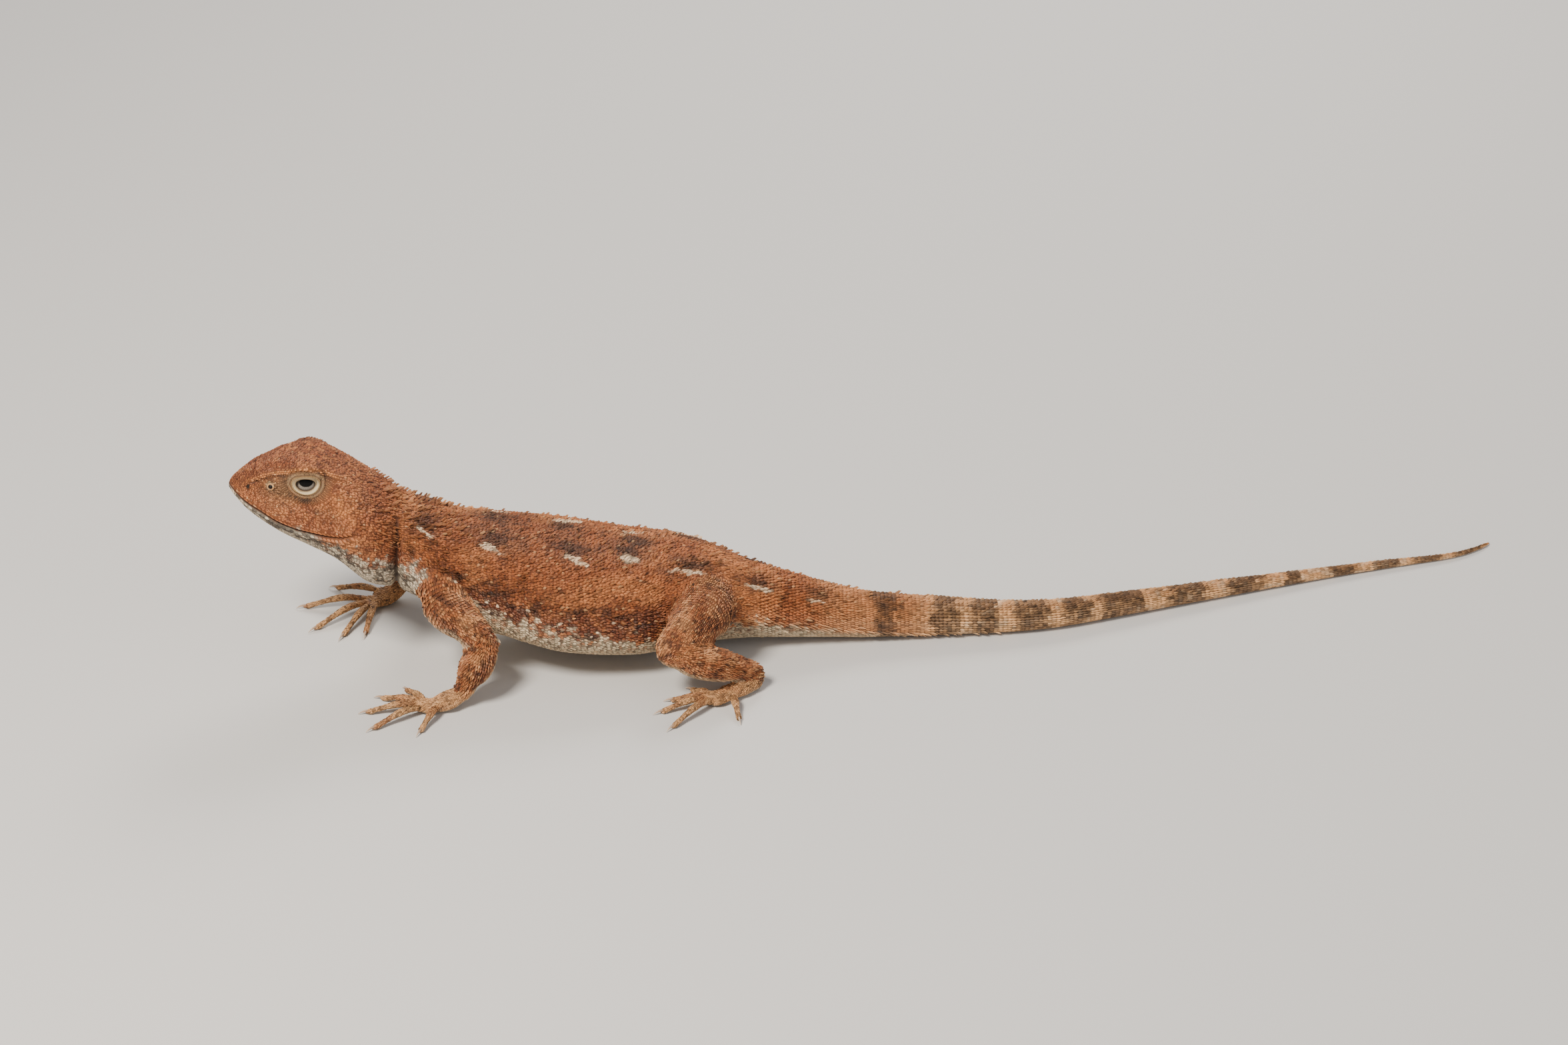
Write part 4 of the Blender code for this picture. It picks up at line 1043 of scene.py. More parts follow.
def write_scales(name, roots, normals, along, length, width, keel, tip, pale, flat_uv, slot_name, base=None):
    """One joined mesh of leaves: point = root + along * a * length + across * b * width + normal * height."""
    n = len(roots)
    across = np.cross(normals, along)
    a = LEAF[None, :, 0] * length[:, None]
    b = LEAF[None, :, 1] * width[:, None]
    h = LEAF[None, :, 2] * length[:, None] + LEAF[None, :, 3] * keel[:, None]
    h = h + LEAF[None, :, 4] * tip[:, None]
    corners = (
        roots[:, None, :]
        + along[:, None, :] * a[..., None]
        + across[:, None, :] * b[..., None]
        + normals[:, None, :] * h[..., None]
    )
    corners[..., 2] = np.maximum(corners[..., 2], 0.0)
    all_roots.append(roots)
    faces = (LEAF_FACES[None] + (np.arange(n) * len(LEAF))[:, None, None]).reshape(-1, 3)
    base = paint(roots, nearest_samples(roots)) if base is None else base
    base = base * random.uniform(0.70, 1.25, n)[:, None]
    lot = random.random(n)[:, None]
    base = np.where(lot > 1 - PALE_SHARE, base * 0.6 + TIP * 0.35, base)
    base = np.where(lot < DARK_SHARE, base * 0.45, base)
    # each scale's colour times its painted shade and highlight
    tone = base[:, None, :] * LEAF_SHADE[None, :, None]
    share = (LEAF_PALE[None, :] * pale[:, None])[..., None]
    bright = np.clip(base.max(axis=1) * 1.8, 0.12, 1.0)
    tone = tone + (TIP * bright[:, None, None] - tone) * share
    obj = new_object(name, corners.reshape(-1, 3), faces, np.clip(tone, 0, 1).reshape(-1, 3), smooth=False)
    uv = flat_uv[:, None, :] + LEAF[None, :, :2] * PATCH * 0.9
    layer = obj.data.uv_layers.new(name="OFBake")
    layer.data.foreach_set("uv", uv.reshape(-1, 2)[faces.ravel()].astype(np.float32).ravel())
    coats.append((obj, slot_name))
    print(name, n, "scales")
    return obj


coats, all_roots = [], []
NEIGHBOUR_SHARE = 0.55  # where two parts of a leg overlap, about half of each one's scales stay
HALO_OUTER = 2.65  # inside this ring the scales stand in rings round the eye
BROW_ENDS = (-58.2, -48.4)
BROW_ROWS = (0.02, 0.24)  # heights over the line

# %% [markdown]
# ## Rows of scales on the body
# Scales stand in staggered rows like roof tiles. Along each ring the places are shared out by true length,
# so they don't crowd where the section turns sharply. Some scales are larger spines with a raised tip, as
# this animal has scattered over its back.


# %% Scales of the head, the trunk and the tail
def body_lattice(rows_at, columns, stagger):
    """Places and angles of a lattice: equal steps of girth in every row, odd rows moved on by the stagger."""
    fine = np.linspace(0, 2 * math.pi, 241)
    rings = body_points(rows_at[:, None], fine[None, :])
    girth = np.concatenate([
        np.zeros((len(rows_at), 1)),
        np.cumsum(np.linalg.norm(np.diff(rings, axis=1), axis=2), axis=1),
    ], axis=1)
    steps = (np.arange(columns)[None, :] + stagger * (np.arange(len(rows_at)) % 2)[:, None]) / columns
    angles = np.array([np.interp(steps[i] * girth[i, -1], girth[i], fine) for i in range(len(rows_at))])
    s = np.repeat(rows_at, columns)
    spacing = np.repeat(girth[:, -1] / columns, columns)
    return s, angles.ravel(), spacing


def rows_between(start, end, steps):
    """Rows from start to end whose spacing follows the key steps (place, spacing)."""
    rows = [start]
    places, gaps = np.array(steps).T
    while rows[-1] < end:
        rows.append(rows[-1] + float(np.interp(rows[-1], places, gaps)))
    return np.array(rows)


def body_scales(name, rows_at, columns, slot_name):
    """Covers a stretch of the body, leaving out the eyes, the nostrils and the mouth's own plates."""
    on_tail = slot_name == "tail_skin"
    in_whorls = on_tail and rows_at[0] > 10.0
    s, angle, spacing = body_lattice(rows_at, columns, 0.0 if in_whorls else 0.5)
    s = s + random.normal(0, 0.03 if on_tail else 0.07, len(s))
    angle = angle + random.normal(0, 0.006 if on_tail else 0.009, len(s))
    roots = body_points(s, angle)
    along = body_points(s + 0.05, angle) - roots
    y, z = section(s, angle, -SKIN_IN)
    up = rise_of(angle)
    ring = np.where(np.abs(y) < 2.5, 9.0, ring_on_skin(s, y, z))
    from_mouth = np.abs(z - column(MOUTH, s))
    moved_s, _, moved_z = over_eyes(s, y, z)
    from_brow = moved_z - column(BROW_LINE, moved_s)
    free = (ring > HALO_OUTER) | (from_brow > 0.36)
    free &= (np.abs(from_brow - 0.14) > 0.22) | (s < BROW_ENDS[0]) | (s > BROW_ENDS[1]) | (np.abs(y) < 2.0)
    free &= np.hypot(s - NOSTRIL_AT, z - NOSTRIL_HEIGHT) > 0.42
    free &= (from_mouth > 0.56 * np.clip((s + 61.2) / 2.0, 0.25, 1)) | (s > -47.4)
    free &= (np.abs(s - fold_at(angle)) > 0.16) | (up > 55)
    roots, normals, along, keep = set_roots(roots, along)
    part_here = sample_part[nearest_samples(roots)]
    keep &= free & (part_here == 0)
    along = swayed(along, normals, 0.06 if on_tail else 0.26)
    step = np.interp(s, rows_at, np.gradient(rows_at))
    on_head = fade(s, -43.5, -46.5)
    by_eye = 1 - 0.4 * fade(ring, 3.0, 1.9) * on_head
    top = fade(up, -8, 30)
    belly = fade(up, -25, -55)
    grain = np.clip(spacing / 0.34, 0.35, 1.3)
    length = step * (1.32 - 0.02 * on_head) * by_eye * random.uniform(0.85, 1.2, len(s))
    width = spacing * (1.1 + 0.16 * on_head) * random.uniform(0.82, 1.18, len(s))
    keel = (0.05 + (0.11 if on_tail else 0.07) * top) * (1 - 0.6 * belly) * (1 - 0.2 * on_head)
    keel = keel * random.uniform(0.6, 1.4, len(s)) * grain * by_eye
    tip = (0.05 + 0.12 * top * (1 - 0.65 * on_head)) * (1 - 0.8 * belly)
    tip = tip * random.uniform(0.4, 1.7, len(s)) * grain * by_eye
    nape = fade(s, -47.5, -44) * fade(s, -35, -38) * fade(up, 0, 20)
    chance = 0.035 * top * fade(s, -48, -46) + 0.09 * nape
    spiny = (random.random(len(s)) < chance) & (s < 12)
    length = np.where(spiny, length * 1.4, length)
    width = np.where(spiny, width * 1.05, width)
    keel = np.where(spiny, 0.24, keel)
    tip = np.where(spiny, random.uniform(0.30, 0.46, len(s)) + 0.16 * nape, tip)
    pale = np.where(spiny, 1.6, random.uniform(0.2, 1.1, len(s)))
    fringe = bell((up - column(UNDERSIDE, s) - 5) / 8) * fade(s, -9, -5) * fade(s, 24, 16)
    fringed = random.random(len(s)) < fringe * 0.8
    length = np.where(fringed, length * 1.6, length)
    tip = np.where(fringed, 0.32, tip)
    pale = np.where(fringed, 2.0, pale)
    uv = on_map((s - s.min()) / (s.max() - s.min()), angle / (2 * math.pi) % 1)
    every = roots, normals, along, length, width, keel, tip, pale, uv
    return write_scales(name, *(values[keep] for values in every), slot_name)


# name, first and last place, key steps of the rows, columns round the body, material slot
STRETCHES = (
    ("coat_snout", -60.7, -57.6, ((-61, 0.19), (-57, 0.23)), 80, "back_skin"),
    ("coat_head", -57.4, -43.6, ((-58, 0.24), (-43, 0.28)), 142, "back_skin"),
    ("coat_trunk_front", -43.3, -24.2, ((-43, 0.30), (-36, 0.33), (-24, 0.34)), 152, "back_skin"),
    ("coat_trunk_rear", -23.9, -4.6, ((-24, 0.34), (-10, 0.34), (-5, 0.36)), 146, "back_skin"),
    ("coat_tail_base", -4.3, 14.0, ((-5, 0.38), (14, 0.44)), 66, "tail_skin"),
    ("coat_tail_middle", 14.4, 44.0, ((14, 0.46), (44, 0.52)), 36, "tail_skin"),
    ("coat_tail_end", 44.5, 66.0, ((44, 0.52), (66, 0.50)), 24, "tail_skin"),
    ("coat_tail_tip", 66.4, 82.2, ((66, 0.48), (82, 0.38)), 14, "tail_skin"),
)
for name, start, end, steps, columns, slot_name in STRETCHES:
    body_scales(name, rows_between(start, end, steps), columns, slot_name)


# %% [markdown]
# ## Scales of the limbs
# Each limb part and digit has its own staggered rows, which point towards the toes. They are keeled on top
# and smooth underneath. The ends of a part that lie inside its neighbour drop out by themselves, because
# no skin is near enough there.

# %% Limb scales
def tube_keys(part_name, shares):
    """Middle line, half width and half height of a limb part or a digit, from its name."""
    if "." in part_name:
        hand, number = part_name.split(".")
        path, radius = digit_keys(hand, int(number), shares)
        return path, radius, radius
    keys = limb_keys(part_name, shares)
    return keys[:, :3], keys[:, 3], keys[:, 4]


def tube_scales(name, tubes_here, slot_name):
    """Staggered rows over several tubes, each given as (part, columns, row spacing, scale height)."""
    groups = []
    for k, (part_name, columns, gap, height) in enumerate(tubes_here):
        fine_shares = np.linspace(0, 1, 200)
        walk, walk_wide, walk_high = tube_keys(part_name, fine_shares)
        steps = np.hypot(np.linalg.norm(np.diff(walk, axis=0), axis=1), np.diff((walk_wide + walk_high) / 2))
        walked = np.concatenate([[0.0], np.cumsum(steps)])
        rows = max(int(walked[-1] / gap), 4)
        shares = np.interp((np.arange(rows) + 0.5) / rows * walked[-1], walked, fine_shares)
        path, wide, high = tube_keys(part_name, shares)
        turn = round_turn(columns)[None, :] + (np.arange(rows) % 2)[:, None] * math.pi / columns
        turn = turn + random.normal(0, 0.15 / columns * 6, turn.shape)
        roots = tube_points(path, wide, high, turn)
        ahead, behind = (tube_keys(part_name, np.clip(shares + step, 0, 1))[0] for step in (0.02, -0.02))
        forward = np.repeat((ahead - behind)[:, None, :], columns, axis=1)
        girth = np.maximum(wide, 0.1) * 2 * math.pi / columns
        size = np.repeat(girth[:, None], columns, axis=1)
        uv = on_map(shares[:, None], (k + (turn / (2 * math.pi)) % 1 * 0.9) / len(tubes_here))
        groups.append((roots.reshape(-1, 3), forward.reshape(-1, 3), size.ravel(), np.full(size.size, gap),
                       np.full(size.size, height), uv.reshape(-1, 2), turn.ravel(),
                       np.full(size.size, PART_NAMES.index(part_name))))
    roots, forward, size, gaps, height, uv, turn, part_number = (np.concatenate(g) for g in zip(*groups))
    roots, normals, along, keep = set_roots(roots, forward, 0.3)
    nearest_part = sample_part[nearest_samples(roots)]
    n = len(roots)
    keep &= (nearest_part == part_number) | ((nearest_part != 0) & (random.random(n) < NEIGHBOUR_SHARE))
    numbers, which = np.unique(part_number, return_inverse=True)
    full = np.array([size[part_number == number].max() for number in numbers])[which] * 0.85
    keep &= random.random(n) < size / full
    size = np.maximum(size, full)
    above = fade(np.sin(turn), -0.5, 0.2)
    along = swayed(along, normals, 0.15)
    length = gaps * 1.5 * random.uniform(0.85, 1.2, n)
    width = size * 1.15
    keel = height * (0.35 + 0.65 * above) * random.uniform(0.6, 1.3, n)
    tip = height * (0.5 + 1.2 * above) * random.uniform(0.4, 1.6, n)
    every = roots, normals, along, length, width, keel, tip, random.uniform(0.3, 1.8, n), uv
    return write_scales(name, *(values[keep] for values in every), slot_name)


LIMB_COLUMNS = {"upper_arm": 50, "forearm": 40, "hand": 28, "thigh": 74, "shank": 46, "foot": 28}
for side in ("left", "right"):
    parts_here = []
    for part_name, columns in LIMB_COLUMNS.items():
        small = part_name in ("hand", "foot")
        height = 0.10 if part_name in ("upper_arm", "forearm", "shank") else 0.06
        parts_here.append((f"{side}_{part_name}", columns, 0.25 if small else 0.31, height))
    tube_scales(f"coat_{side}_limbs", parts_here, "limb_skin")
    digits = [(f"{side}_{end}.{n}", 12, 0.20, 0.028) for end in ("hand", "foot") for n in range(5)]
    tube_scales(f"coat_{side}_digits", digits, "limb_skin")


# %% [markdown]
# ## Bare spots at the joints
# Where a limb joins the body, softening stretched the skin and left it thinly covered. Each corner of the
# skin there that is far from any root gets a scale of its own, at most one in each small cube of space.

# %% Scales for bare spots
BARE, CUBE = 0.22, 0.22  # a corner is bare when no root is nearer than this; side of the small cubes


def fill_bare_spots():
    """Adds scales on the limbs and beside their roots wherever no other root lies within BARE."""
    root_tree = tree_of(np.concatenate(all_roots))
    part_here, s_here = sample_part[skin_samples], sample_along[skin_samples]
    trunk = (part_here == 0) & (((s_here > -42.5) & (s_here < -30.0)) | ((s_here > -16.0) & (s_here < -4.0)))
    wanted = (trunk | ((part_here > 0) & (part_here <= len(LIMBS)))) & (points[:, 2] > 0.3)
    bare = [i for i in np.flatnonzero(wanted) if root_tree.find(points[i])[2] > BARE]
    cubes = np.floor(points[bare] / CUBE).astype(int)
    _, first = np.unique(cubes, axis=0, return_index=True)
    chosen = np.array(bare)[np.sort(first)]
    roots, samples = points[chosen].copy(), skin_samples[chosen]
    roots, normals, along, keep = set_roots(roots, sample_growth[samples], 3.0)
    n = len(roots)
    uv = on_map(chosen / len(points), sample_round[samples] / (2 * math.pi) % 1)
    along = swayed(along, normals, 0.2)
    length, width = random.uniform(0.40, 0.52, n), random.uniform(0.30, 0.38, n)
    keel, tip = random.uniform(0.04, 0.10, n), random.uniform(0.04, 0.12, n)
    pale = random.uniform(0.3, 1.4, n)
    every = roots, normals, along, length, width, keel, tip, pale, uv
    write_scales("coat_joints", *(values[keep] for values in every), "limb_skin")


fill_bare_spots()


# %% [markdown]
# ## Lids, eyes and nostrils
# The eye sits deep in a bulge of skin. The lids are a sheet of their own, laid on the bulge by rays from
# the side and curled in to the eyeball, so the opening has a smooth rim. Small scales follow it in rings.

# %% Lids
SIDES = (("left", -1.0), ("right", 1.0))
EYEBALL_R = 1.86
LID_INNER, LID_OUTER = 0.76, 1.90  # rings of the lids' rims, as multiples of the opening
HALO_STEP = 0.155


def closed_skin(side):
    """Tree of the skin round one eye as it would be with no opening, for the lids to lie on."""
    s = np.linspace(EYE_AT - 4.5, EYE_AT + 4.5, 150)
    angle = np.linspace(-0.5, 1.5, 150)
    s, angle = np.broadcast_arrays(s[:, None], angle[None, :] if side > 0 else math.pi - angle[None, :])
    here = place(*over_eyes(s, *section(s, angle, -SKIN_IN), open_lids=False))
    n, m, _ = here.shape
    corner = (np.arange(n - 1)[:, None] * m + np.arange(m - 1)).ravel()
    quads = np.stack([corner, corner + 1, corner + m + 1, corner + m], 1)
    return BVHTree.FromPolygons(here.reshape(-1, 3).tolist(), quads.tolist())


closed = {side: closed_skin(side) for _, side in SIDES}


def opening_at(ring, turn):
    """The opening's outline times the ring, from the eye's centre: an oval with a flatter top."""
    high = OPENING_HIGH - OPENING_FLAT * np.sin(turn)
    return ring * OPENING_WIDE * np.cos(turn), ring * high * np.sin(turn)


def lid_point(side, ring, turn, raised=0.0):
    """Points of the lids: on the closed skin, curled in to the eyeball at the rim, sunk at the outer edge."""
    ring, turn = np.broadcast_arrays(ring, turn)
    ds, dz = opening_at(ring, turn)
    far, near = (place(EYE_AT + ds, side * out, EYE_HEIGHT + dz) for out in (9.0, 2.0))
    outward = unit(far - near)
    rays = zip(far.reshape(-1, 3), outward.reshape(-1, 3))
    on_skin = [closed[side].ray_cast(Vector(start), Vector(-way))[0] for start, way in rays]
    on_skin = np.array(on_skin).reshape(far.shape)
    on_ball = np.sqrt(np.maximum((EYEBALL_R - 0.06) ** 2 - ds**2 - dz**2, 0.02))
    inner = place(EYE_AT + ds, side * (EYE_OUT + on_ball), EYE_HEIGHT + dz)
    edge = (1 - fade(ring, 0.97, 0.80))[..., None]
    sink = (fade(ring, 1.76, LID_OUTER) * 0.35)[..., None]
    return inner + (on_skin + outward * 0.03 - inner) * edge + outward * (raised - sink)


def lid_mesh(side):
    """A ring-shaped sheet of quads closed underneath by a copy sunk below it."""
    rings = np.linspace(LID_INNER, LID_OUTER, 44)[:, None]
    turn = round_turn(96)[None, :]
    top = lid_point(side, rings, turn)
    below = lid_point(side, rings, turn, -0.25)
    sheet, faces = wrapped_arrays(np.concatenate([top, below[::-1]]))
    ring_of = np.repeat(np.concatenate([rings[:, 0], rings[::-1, 0]]), turn.size)
    return sheet, faces, ring_of, np.tile(turn[0], 2 * len(rings))


def lid_colours(points_here, ring, turn):
    """Cream by the opening, brightest below it, then ochre, a dark line, greyish skin; painted shade and
    highlight on the folds; a dark edge of painted shade.
    """
    fine = clouds(points_here, 0.35, 21)
    low = fade(np.sin(turn), 0.7, -0.5)[:, None]
    colour = np.tile(LOREAL, (len(ring), 1))
    fold_highlight = 0.5 + 0.5 * np.cos((ring - FOLD_RING) / FOLD_STEP * 2 * math.pi)
    # painted shade in the troughs of the ring folds
    colour = mix(colour, BLOTCH_AND_SHADE, (1 - fold_highlight) * fade(ring, 1.4, 1.6) * 0.45)
    colour = mix(colour, RUST, fade(fine, 0.6, 0.85) * 0.4)
    # painted highlight on the crests of the ring folds
    colour = mix(colour, RIM_AND_HIGHLIGHT, fold_highlight * fade(ring, 2.0, 1.3) * 0.5)
    colour = mix(colour, LID_OCHRE, np.exp(-(((ring - 1.32) / 0.11) ** 4)) * (0.7 + 0.3 * fine))
    bright = LID_GREY + (LID_CREAM - LID_GREY) * low
    colour = mix(colour, bright, np.exp(-(((ring - 1.07) / 0.17) ** 4)) * (0.70 + 0.25 * fine))
    colour = mix(colour, BLOTCH_AND_SHADE, bell((ring - 1.42) / 0.06) * 0.8)
    # painted shade at the inner edge, where the lid curls in against the eyeball
    return mix(colour, FLECK_AND_SHADE, fade(ring, 0.94, 0.87) * 0.9)


def skin_from_side(side, s, z):
    """Where a level ray from the side meets the skin, its normal there, or None where the skin turns away."""
    far, near = place(s, side * 9.0, z), place(s, side * 2.0, z)
    at, normal, _, _ = skin_tree.ray_cast(Vector(far), Vector(near - far))
    if at is None or abs(Vector(normal).dot(Vector(unit(near - far)))) < 0.12:
        return None
    return np.array(at), np.array(normal)


def halo(side):
    """Scales in wider rings round the lids, below the brow's line, set on the skin by rays from the side."""
    found = []
    for k, ring in enumerate(np.arange(LID_OUTER, HALO_OUTER, HALO_STEP)):
        count = int(27 * ring)
        turn = (np.arange(count) + 0.5 * (k % 2) + random.uniform(-0.15, 0.15, count)) / count * 2 * math.pi
        ring_here = ring + random.uniform(-0.03, 0.03, count)
        for angle, wide in zip(turn, ring_here):
            ds, dz = opening_at(wide, angle)
            s, z = EYE_AT + ds, EYE_HEIGHT + dz
            hit = None if z > column(BROW_LINE, s) - 0.05 else skin_from_side(side, s, z)
            if hit is None:
                continue
            outward = place(s + ds, side * 3.0, z + dz) - place(s, side * 3.0, z)
            patch_at = (0.02 + 0.96 * angle / (2 * math.pi) % 1, 0.02 + 0.5 * (wide - 1))
            found.append((*hit, outward, patch_at, 0.15 + 0.05 * (wide - LID_OUTER)))
    roots, normals, outward, uv, size = (np.array(values) for values in zip(*found))
    return roots, unit(normals), unit(outward), uv, size


BEAD_RINGS = (1.24, 1.295, 1.35, 1.48, 1.575, 1.67, 1.765, 1.85)


def lid_beads(side_name, side):
    """Small scales in rings over the lids, pointing outward from the opening."""
    roots, outward, uv, size, base = [], [], [], [], []
    for k, ring in enumerate(BEAD_RINGS):
        fine_bead = ring < 1.4
        count = int((76 if fine_bead else 44) * ring)
        turn = (np.arange(count) + 0.5 * (k % 2)) / count * 2 * math.pi
        here = lid_point(side, np.full(count, ring), turn)
        roots.append(here)
        outward.append(lid_point(side, np.full(count, ring + 0.05), turn) - here)
        row = np.full(count, 0.02 + 0.5 * (ring - 1))
        uv.append(np.stack([0.02 + 0.96 * turn / (2 * math.pi) % 1, row], 1))
        size.append(np.full(count, 0.075 if fine_bead else 0.13))
        base.append(lid_colours(here, np.full(count, ring), turn))
    roots, outward, uv = np.concatenate(roots), unit(np.concatenate(outward)), np.concatenate(uv)
    size, base = np.concatenate(size), np.concatenate(base)
    centre = place(EYE_AT, side * EYE_OUT, EYE_HEIGHT)
    normals = unit(roots - centre)
    ring_roots, ring_normals, ring_outward, ring_uv, ring_size = halo(side)
    roots, normals = np.concatenate([roots, ring_roots]), np.concatenate([normals, ring_normals])
    outward, uv = np.concatenate([outward, ring_outward]), np.concatenate([uv, ring_uv])
    size = np.concatenate([size, ring_size])
    base = np.concatenate([base, paint(ring_roots, nearest_samples(ring_roots))])
    outward = unit(along_skin(outward, normals))
    n = len(roots)
    size = size * random.uniform(0.85, 1.15, n)
    measures = (size * share for share in (1.25, 1.05, 0.30, 0.25))  # length, width, keel and tip
    pale = random.uniform(0.4, 1.2, n)
    name = f"lid_scales_{side_name}"
    return write_scales(name, roots, normals, outward, *measures, pale, uv, "back_skin", base)


# %% Scales of the brow's line
def brow_scales():
    """Rows of longer scales along the brow's line on both sides, staggered, pointing back."""
    found = []
    for _, side in SIDES:
        for k, over_line in enumerate(BROW_ROWS):
            at = np.arange(BROW_ENDS[0] + 0.13 * (k % 2), BROW_ENDS[1], 0.27)
            for s in at + random.uniform(-0.03, 0.03, len(at)):
                z = column(BROW_LINE, s) + over_line
                hit = skin_from_side(side, s, z)
                if hit is None:
                    continue
                back_z = column(BROW_LINE, s + 0.2) + over_line
                along = place(s + 0.2, side * 3.0, back_z) - place(s, side * 3.0, z)
                share = (s - BROW_ENDS[0]) / (BROW_ENDS[1] - BROW_ENDS[0])
                patch_at = (0.1 + 0.8 * share, 0.5 + 0.2 * side + 0.08 * k)
                found.append((*hit, along, patch_at))
    roots, normals, along, uv = (np.array(values) for values in zip(*found))
    normals = unit(normals)
    along = unit(along_skin(along, normals))
    n = len(roots)
    length, width = random.uniform(0.30, 0.38, n), random.uniform(0.24, 0.29, n)
    keel, tip = random.uniform(0.05, 0.08, n), random.uniform(0.03, 0.07, n)
    pale = random.uniform(0.2, 1.0, n)
    write_scales("brow_scales", roots, normals, along, length, width, keel, tip, pale, uv, "back_skin")


brow_scales()


# %% Eyeballs
def eyeball(side):
    """A ball whose pole looks out to the side; its colours go by the distance from the pole."""
    rings, sides = 64, 72
    polar = np.linspace(0, math.pi, rings)
    cornea = 1 + 0.035 * bell(polar / 0.38)
    turn = round_turn(sides)
    out = np.cos(polar) * EYEBALL_R * cornea
    flat = np.sin(polar) * EYEBALL_R * cornea
    look = np.radians(-1.0)
    flat, out = flat[:, None], out[:, None]
    local = np.stack(np.broadcast_arrays(flat * np.cos(turn), out, flat * np.sin(turn)), -1)
    s = local[..., 0] * math.cos(look) - local[..., 1] * math.sin(look)
    y = local[..., 0] * math.sin(look) + local[..., 1] * math.cos(look)
    grid_here = place(EYE_AT + s, side * (EYE_OUT + y), EYE_HEIGHT + local[..., 2])
    flat_points, faces = loft_arrays(grid_here[1:-1])
    across = np.concatenate([local[1:-1, :, 0].ravel(), [0.0, 0.0]])
    high = np.concatenate([local[1:-1, :, 2].ravel(), [0.0, 0.0]])
    outward = np.concatenate([local[1:-1, :, 1].ravel(), [EYEBALL_R, -EYEBALL_R]])
    turned = np.concatenate([np.tile(turn, rings - 2), [0.0, 0.0]])
    spokes = 0.5 + 0.5 * np.sin(turned * 29) * np.sin(turned * 11 + 1)
    in_pupil = np.hypot(across / 0.74, (high - 0.18) / 0.52)
    in_iris = np.hypot(across / 1.06, high / 0.80)
    pupil, iris_pale, iris_grey_and_shade = srgb(4, 3, 3), srgb(156, 147, 136), srgb(84, 72, 60)
    colour = mix(np.tile(iris_pale, (len(across), 1)), iris_grey_and_shade, spokes * 0.5)
    # painted shade of the upper lid over the iris's upper half
    colour = mix(colour, iris_grey_and_shade, fade(high, -0.15, 0.3) * 0.9)
    # greyer towards the opening's corners
    colour = mix(colour, iris_grey_and_shade, fade(np.abs(across), 0.65, 0.95) * 0.8)
    colour = mix(colour, pupil, fade(in_pupil, 1.06, 0.96))
    colour = mix(colour, FLECK_AND_SHADE, fade(in_iris, 0.94, 1.06) * 0.9)
    colour = mix(colour, pupil, fade(outward, 1.2, 0.8))
    return flat_points, faces, colour


lids, eyes = [], []
for side_name, side in SIDES:
    lid_points, lid_faces, lid_rings, lid_turns = lid_mesh(side)
    lid_paint = lid_colours(lid_points, lid_rings, lid_turns)
    lids.append(new_object(f"lids_{side_name}", lid_points, lid_faces, lid_paint))
    lid_beads(side_name, side)
    eyes.append(new_object(f"eyeball_{side_name}", *eyeball(side)))
print("eyes:", [len(e.data.polygons) for e in eyes])


# %% Plates along the mouth and rings of the nostrils
def lip_plates():
    """Two rows of longer scales on each side, above and below the mouth's line."""
    roots, along, uv = [], [], []
    for _, side in SIDES:
        for above, gap in ((0.33, 0.46), (-0.32, 0.44)):
            at = np.arange(-60.4, -46.9, gap)
            z = column(MOUTH, at) + above
            angle = angle_at(at, z)
            angle = angle if side > 0 else math.pi - angle
            here = body_points(at, angle)
            roots.append(here)
            along.append(body_points(at + 0.05, angle) - here)
            row = np.full(len(at), 0.5 + 0.2 * side + 0.1 * above)
            uv.append(np.stack([0.02 + 0.96 * (at - SNOUT) / 14.5, row], 1))
    roots, along, uv = np.concatenate(roots), np.concatenate(along), np.concatenate(uv)
    roots, normals, along, keep = set_roots(roots, along)
    n = len(roots)
    measures = (np.full(n, measure) for measure in (0.60, 0.40, 0.06, 0.04))
    every = roots, normals, along, *measures, random.uniform(0.1, 0.6, n), uv
    return write_scales("lip_plates", *(values[keep] for values in every), "back_skin")


lip_plates()


NOSTRIL_PALE = srgb(186, 136, 88)


def nostril_ring(side):
    """A torus on the skin: big circle 0.30 mm, small circle 0.11 mm, squared to the skin's normal there."""
    grid_side = place(NOSTRIL_AT, side * 4.0, NOSTRIL_HEIGHT)
    at, normal, _, _ = skin_tree.find_nearest(grid_side)
    at, normal = np.array(at), np.array(normal)
    across = unit(np.cross(normal, (0.0, 0.0, 1.0)))
    up = np.cross(across, normal)
    big, small = np.meshgrid(round_turn(36), round_turn(14), indexing="ij")
    reach = 0.30 + 0.11 * np.cos(small)
    flat = across * (reach * np.cos(big))[..., None] + up * (reach * np.sin(big))[..., None]
    torus = at + flat + normal * (0.13 * np.sin(small) + 0.01)[..., None]
    out, faces = wrapped_arrays(torus)
    colour = mix(np.tile(NOSTRIL_PALE, (len(out), 1)), LID_CREAM, fade(clouds(out, 0.12, 33), 0.5, 0.8) * 0.5)
    # painted shade on the ring's inner side, darkening towards the opening
    colour = mix(colour, BLOTCH_AND_SHADE, fade(np.linalg.norm(out - at, axis=1), 0.33, 0.24))
    turn = round_turn(36)
    # a dark disc sunk in the ring stands for the shade inside the nostril's opening
    rim_flat = (across[None, :] * np.cos(turn)[:, None] + up[None, :] * np.sin(turn)[:, None]) * 0.25
    pit_rings = [at + rim_flat + normal * 0.05, at + rim_flat * 0.98 - normal * 0.05]
    pit, pit_faces = loft_arrays(np.stack(pit_rings))
    pit_shade_colour = np.tile(FLECK_AND_SHADE * 0.25, (len(pit), 1))
    return np.vstack([out, pit]), np.vstack([faces, pit_faces + len(out)]), np.vstack([colour, pit_shade_colour])


